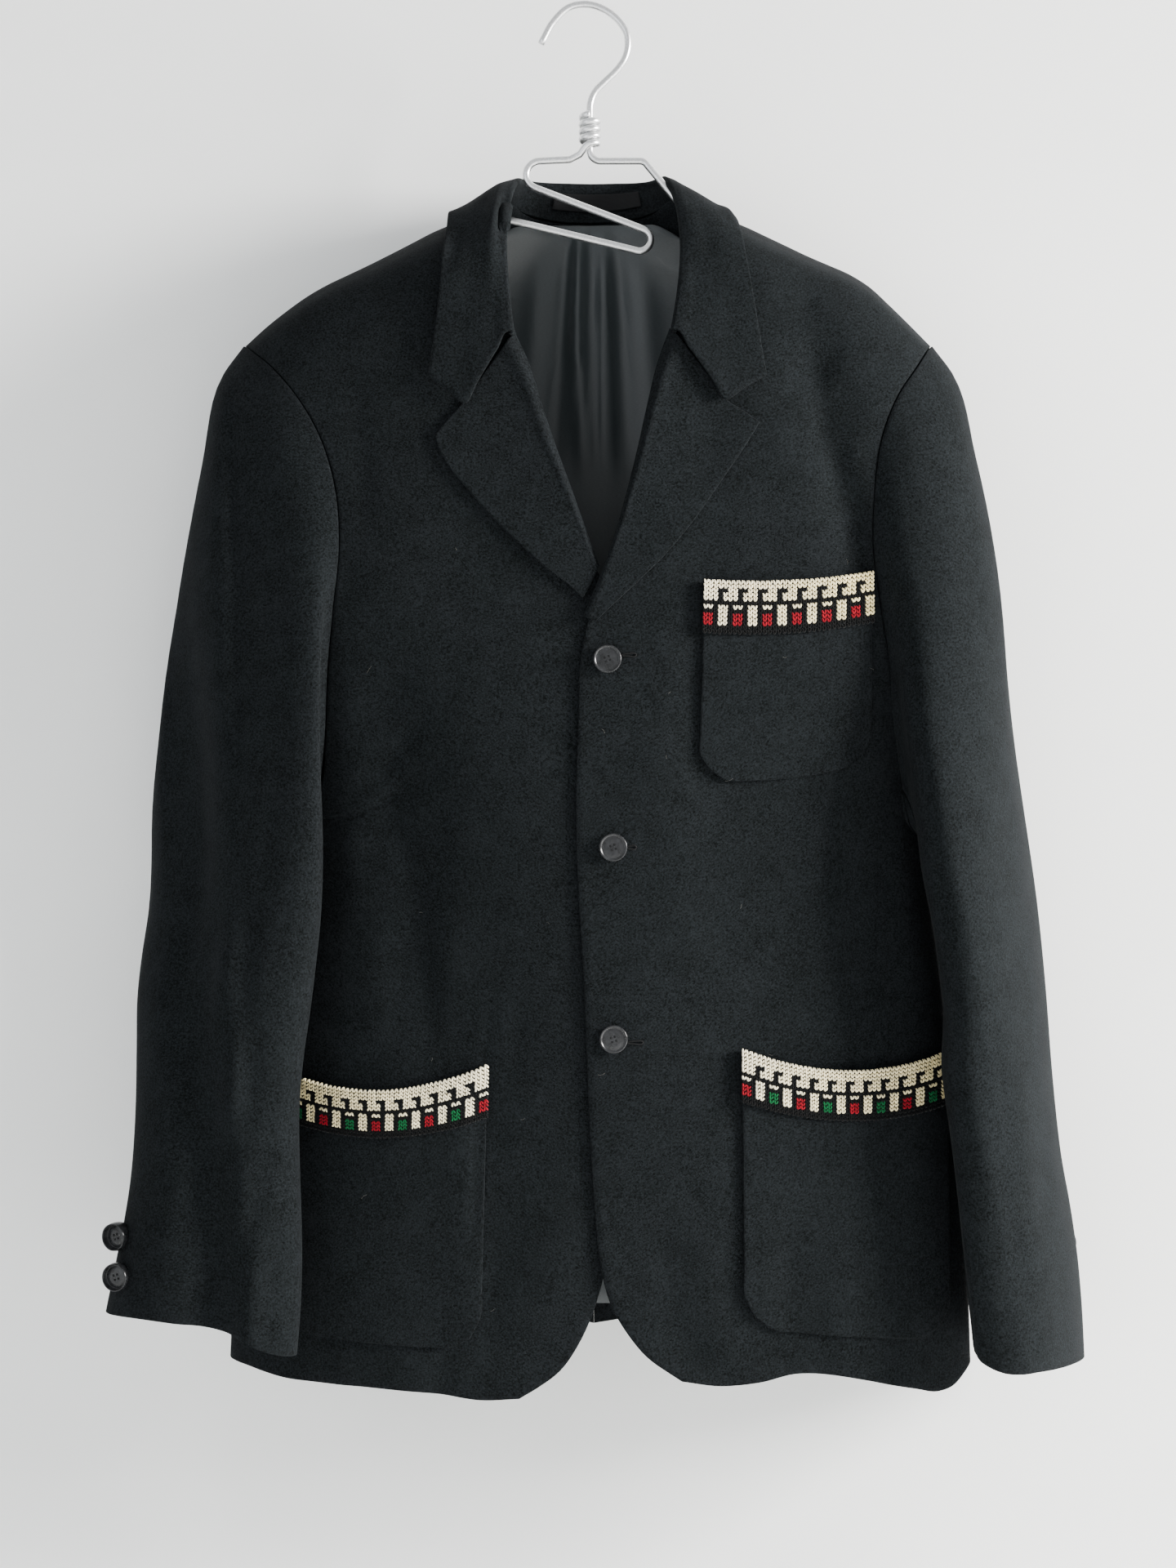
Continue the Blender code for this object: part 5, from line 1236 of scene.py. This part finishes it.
def hidden_arm(node, sign):
    """Middle of the CAD wire under the shoulder, from the neck outwards."""
    points = np.array([tuple(vertex.co) for vertex in frame["nodes"][node].data.vertices]) / MM
    middles = []
    for reach in ARM_REACHES:
        near = np.argsort(np.abs(points[:, 0] - sign * reach))[:ARM_NEAR]
        low, high = points[near].min(axis=0), points[near].max(axis=0)
        middles.append(tuple((low + high) / 2))
    return middles


def wire_mesh(name, route):
    """A round wire along a route in mm, with closed ends."""
    points = np.array(route, float)
    keep = np.append(True, np.linalg.norm(np.diff(points, axis=0), axis=1) > WIRE_STEP)
    points = points[keep]
    along = unit(np.gradient(points, axis=0))
    side = np.cross(along[0], (0.0, 1.0, 0.0))
    rings = []
    for place, way in zip(points, along):
        side = unit(side - way * (side @ way))
        other = np.cross(way, side)
        turns = np.linspace(0, 2 * math.pi, WIRE_SIDES, endpoint=False)[:, None]
        rings.append(place + WIRE_RADIUS * (np.cos(turns) * side + np.sin(turns) * other))
    faces = tube_faces(0, len(rings), WIRE_SIDES)
    return placed_mesh(name, (np.concatenate(rings) * MM).tolist(), faces)


ALUMINIUM = aluminium_material()
hook = finer_rows(np.array([[(x, 0.0, z)] for x, z in HOOK_POINTS]), 6)[:, 0].tolist()
neck_bend = arc(NECK_CENTRE + 7, -94.2, 7, 180, 270)
bar_corner = arc(34.0, -107.2, 6, 88, 30)
coil = []
for step in range(COIL_TURNS * COIL_STEPS + 1):
    turn = 2 * math.pi * step / COIL_STEPS + math.pi / 2
    across, ahead = COIL_RADIUS * math.cos(turn), -COIL_RADIUS * math.sin(turn)
    coil.append((NECK_CENTRE + across, ahead, COIL_TOP - COIL_PITCH * step / COIL_STEPS))
left_bends = arc(-31.5, -110.4, 9.3, 95, 248) + arc(34.0, -153.2, 7.4, 68, -112)
for node, route, sign in (
    ("hanger_hook", hook + neck_bend + bar_corner, 1),
    ("hanger_frame", coil + COIL_END + left_bends, -1),
):
    mesh = wire_mesh(f"{node}_wire", route + hidden_arm(node, sign))
    add_piece(f"{node}_wire", mesh, ALUMINIUM, "satin_aluminium", [node])
    print(node, "has", len(mesh.polygons), "faces")

# %% [markdown]
# ## Wall, floor and light
# A pale plaster wall close behind, a pale floor below the picture and soft area lights. The
# strongest stands at the right, so the wall is darker on the left and the shadow falls there. The
# wall's back is clear and casts no shadow, so that the jacket can be looked at from behind.

# %%
# Stage and lights
WALL_AT, FLOOR_AT = 0.075, -1.12
STAGE_WIDTH, WALL_TOP, FLOOR_FRONT, BEND, BEND_STEPS = 4.0, 0.9, -2.6, 0.12, 8
LIGHT_AIM = Vector((0.0, 0.0, -0.5))
# Name, place, size, power and colour
LIGHTS = (
    ("key", (2.5, -0.78, 0.1), 0.8, 300.0, "#fffdfa"),
    ("fill", (-1.4, -1.9, -0.3), 1.6, 14.0, "#f4f8ff"),
    ("back_fill", (0.4, 2.0, 0.4), 1.8, 60.0, "#ffffff"),
)


def plaster_material():
    """Matt painted plaster with a barely uneven tone, and a clear back."""
    made, tree, shader = new_material("matt pale plaster", Roughness=0.85)
    cloud = add_node(tree, "ShaderNodeTexNoise", Vector=own_place(tree), Scale=6.0, Detail=4.0)
    dye(tree, shader, cloud.outputs["Fac"], (0.3, "#eff0ef"), (0.7, "#f3f4f3"))
    clear = add_node(tree, "ShaderNodeBsdfTransparent").outputs[0]
    behind = add_node(tree, "ShaderNodeNewGeometry").outputs["Backfacing"]
    mixed = add_node(tree, "ShaderNodeMixShader", i0=behind, i1=shader.outputs[0], i2=clear)
    tree.links.new(mixed.outputs[0], tree.nodes["Material Output"].inputs["Surface"])
    return made


outline = [(FLOOR_FRONT, FLOOR_AT)]
for step in range(BEND_STEPS + 1):
    turn = math.pi / 2 * step / BEND_STEPS
    outline.append((WALL_AT - BEND + BEND * math.sin(turn), FLOOR_AT + BEND - BEND * math.cos(turn)))
outline.append((WALL_AT, WALL_TOP))
stage_points = [(x * STAGE_WIDTH / 2, y, z) for y, z in outline for x in (-1, 1)]
stage_faces = [(2 * at, 2 * at + 1, 2 * at + 3, 2 * at + 2) for at in range(len(outline) - 1)]
stage_mesh = bpy.data.meshes.new("studio_wall")
stage_mesh.from_pydata(stage_points, [], stage_faces)
stage_mesh.shade_smooth()
stage_mesh.materials.append(plaster_material())
stage = bpy.data.objects.new("studio_wall", stage_mesh)
bpy.context.scene.collection.objects.link(stage)
stage.visible_shadow = False
for name, place, size, power, tint in LIGHTS:
    data = bpy.data.lights.new(name, "AREA")
    data.size, data.energy, data.color = size, power, colour(tint)[:3]
    light = bpy.data.objects.new(name, data)
    light.location = place
    light.rotation_euler = (LIGHT_AIM - Vector(place)).to_track_quat("-Z", "Y").to_euler()
    bpy.context.scene.collection.objects.link(light)
world = bpy.data.worlds.new("studio")
world.use_nodes = True
background = world.node_tree.nodes["Background"]
background.inputs["Color"].default_value = colour("#f2f4f5")
background.inputs["Strength"].default_value = 1.0
bpy.context.scene.world = world
print("stage and", len(LIGHTS), "lights")
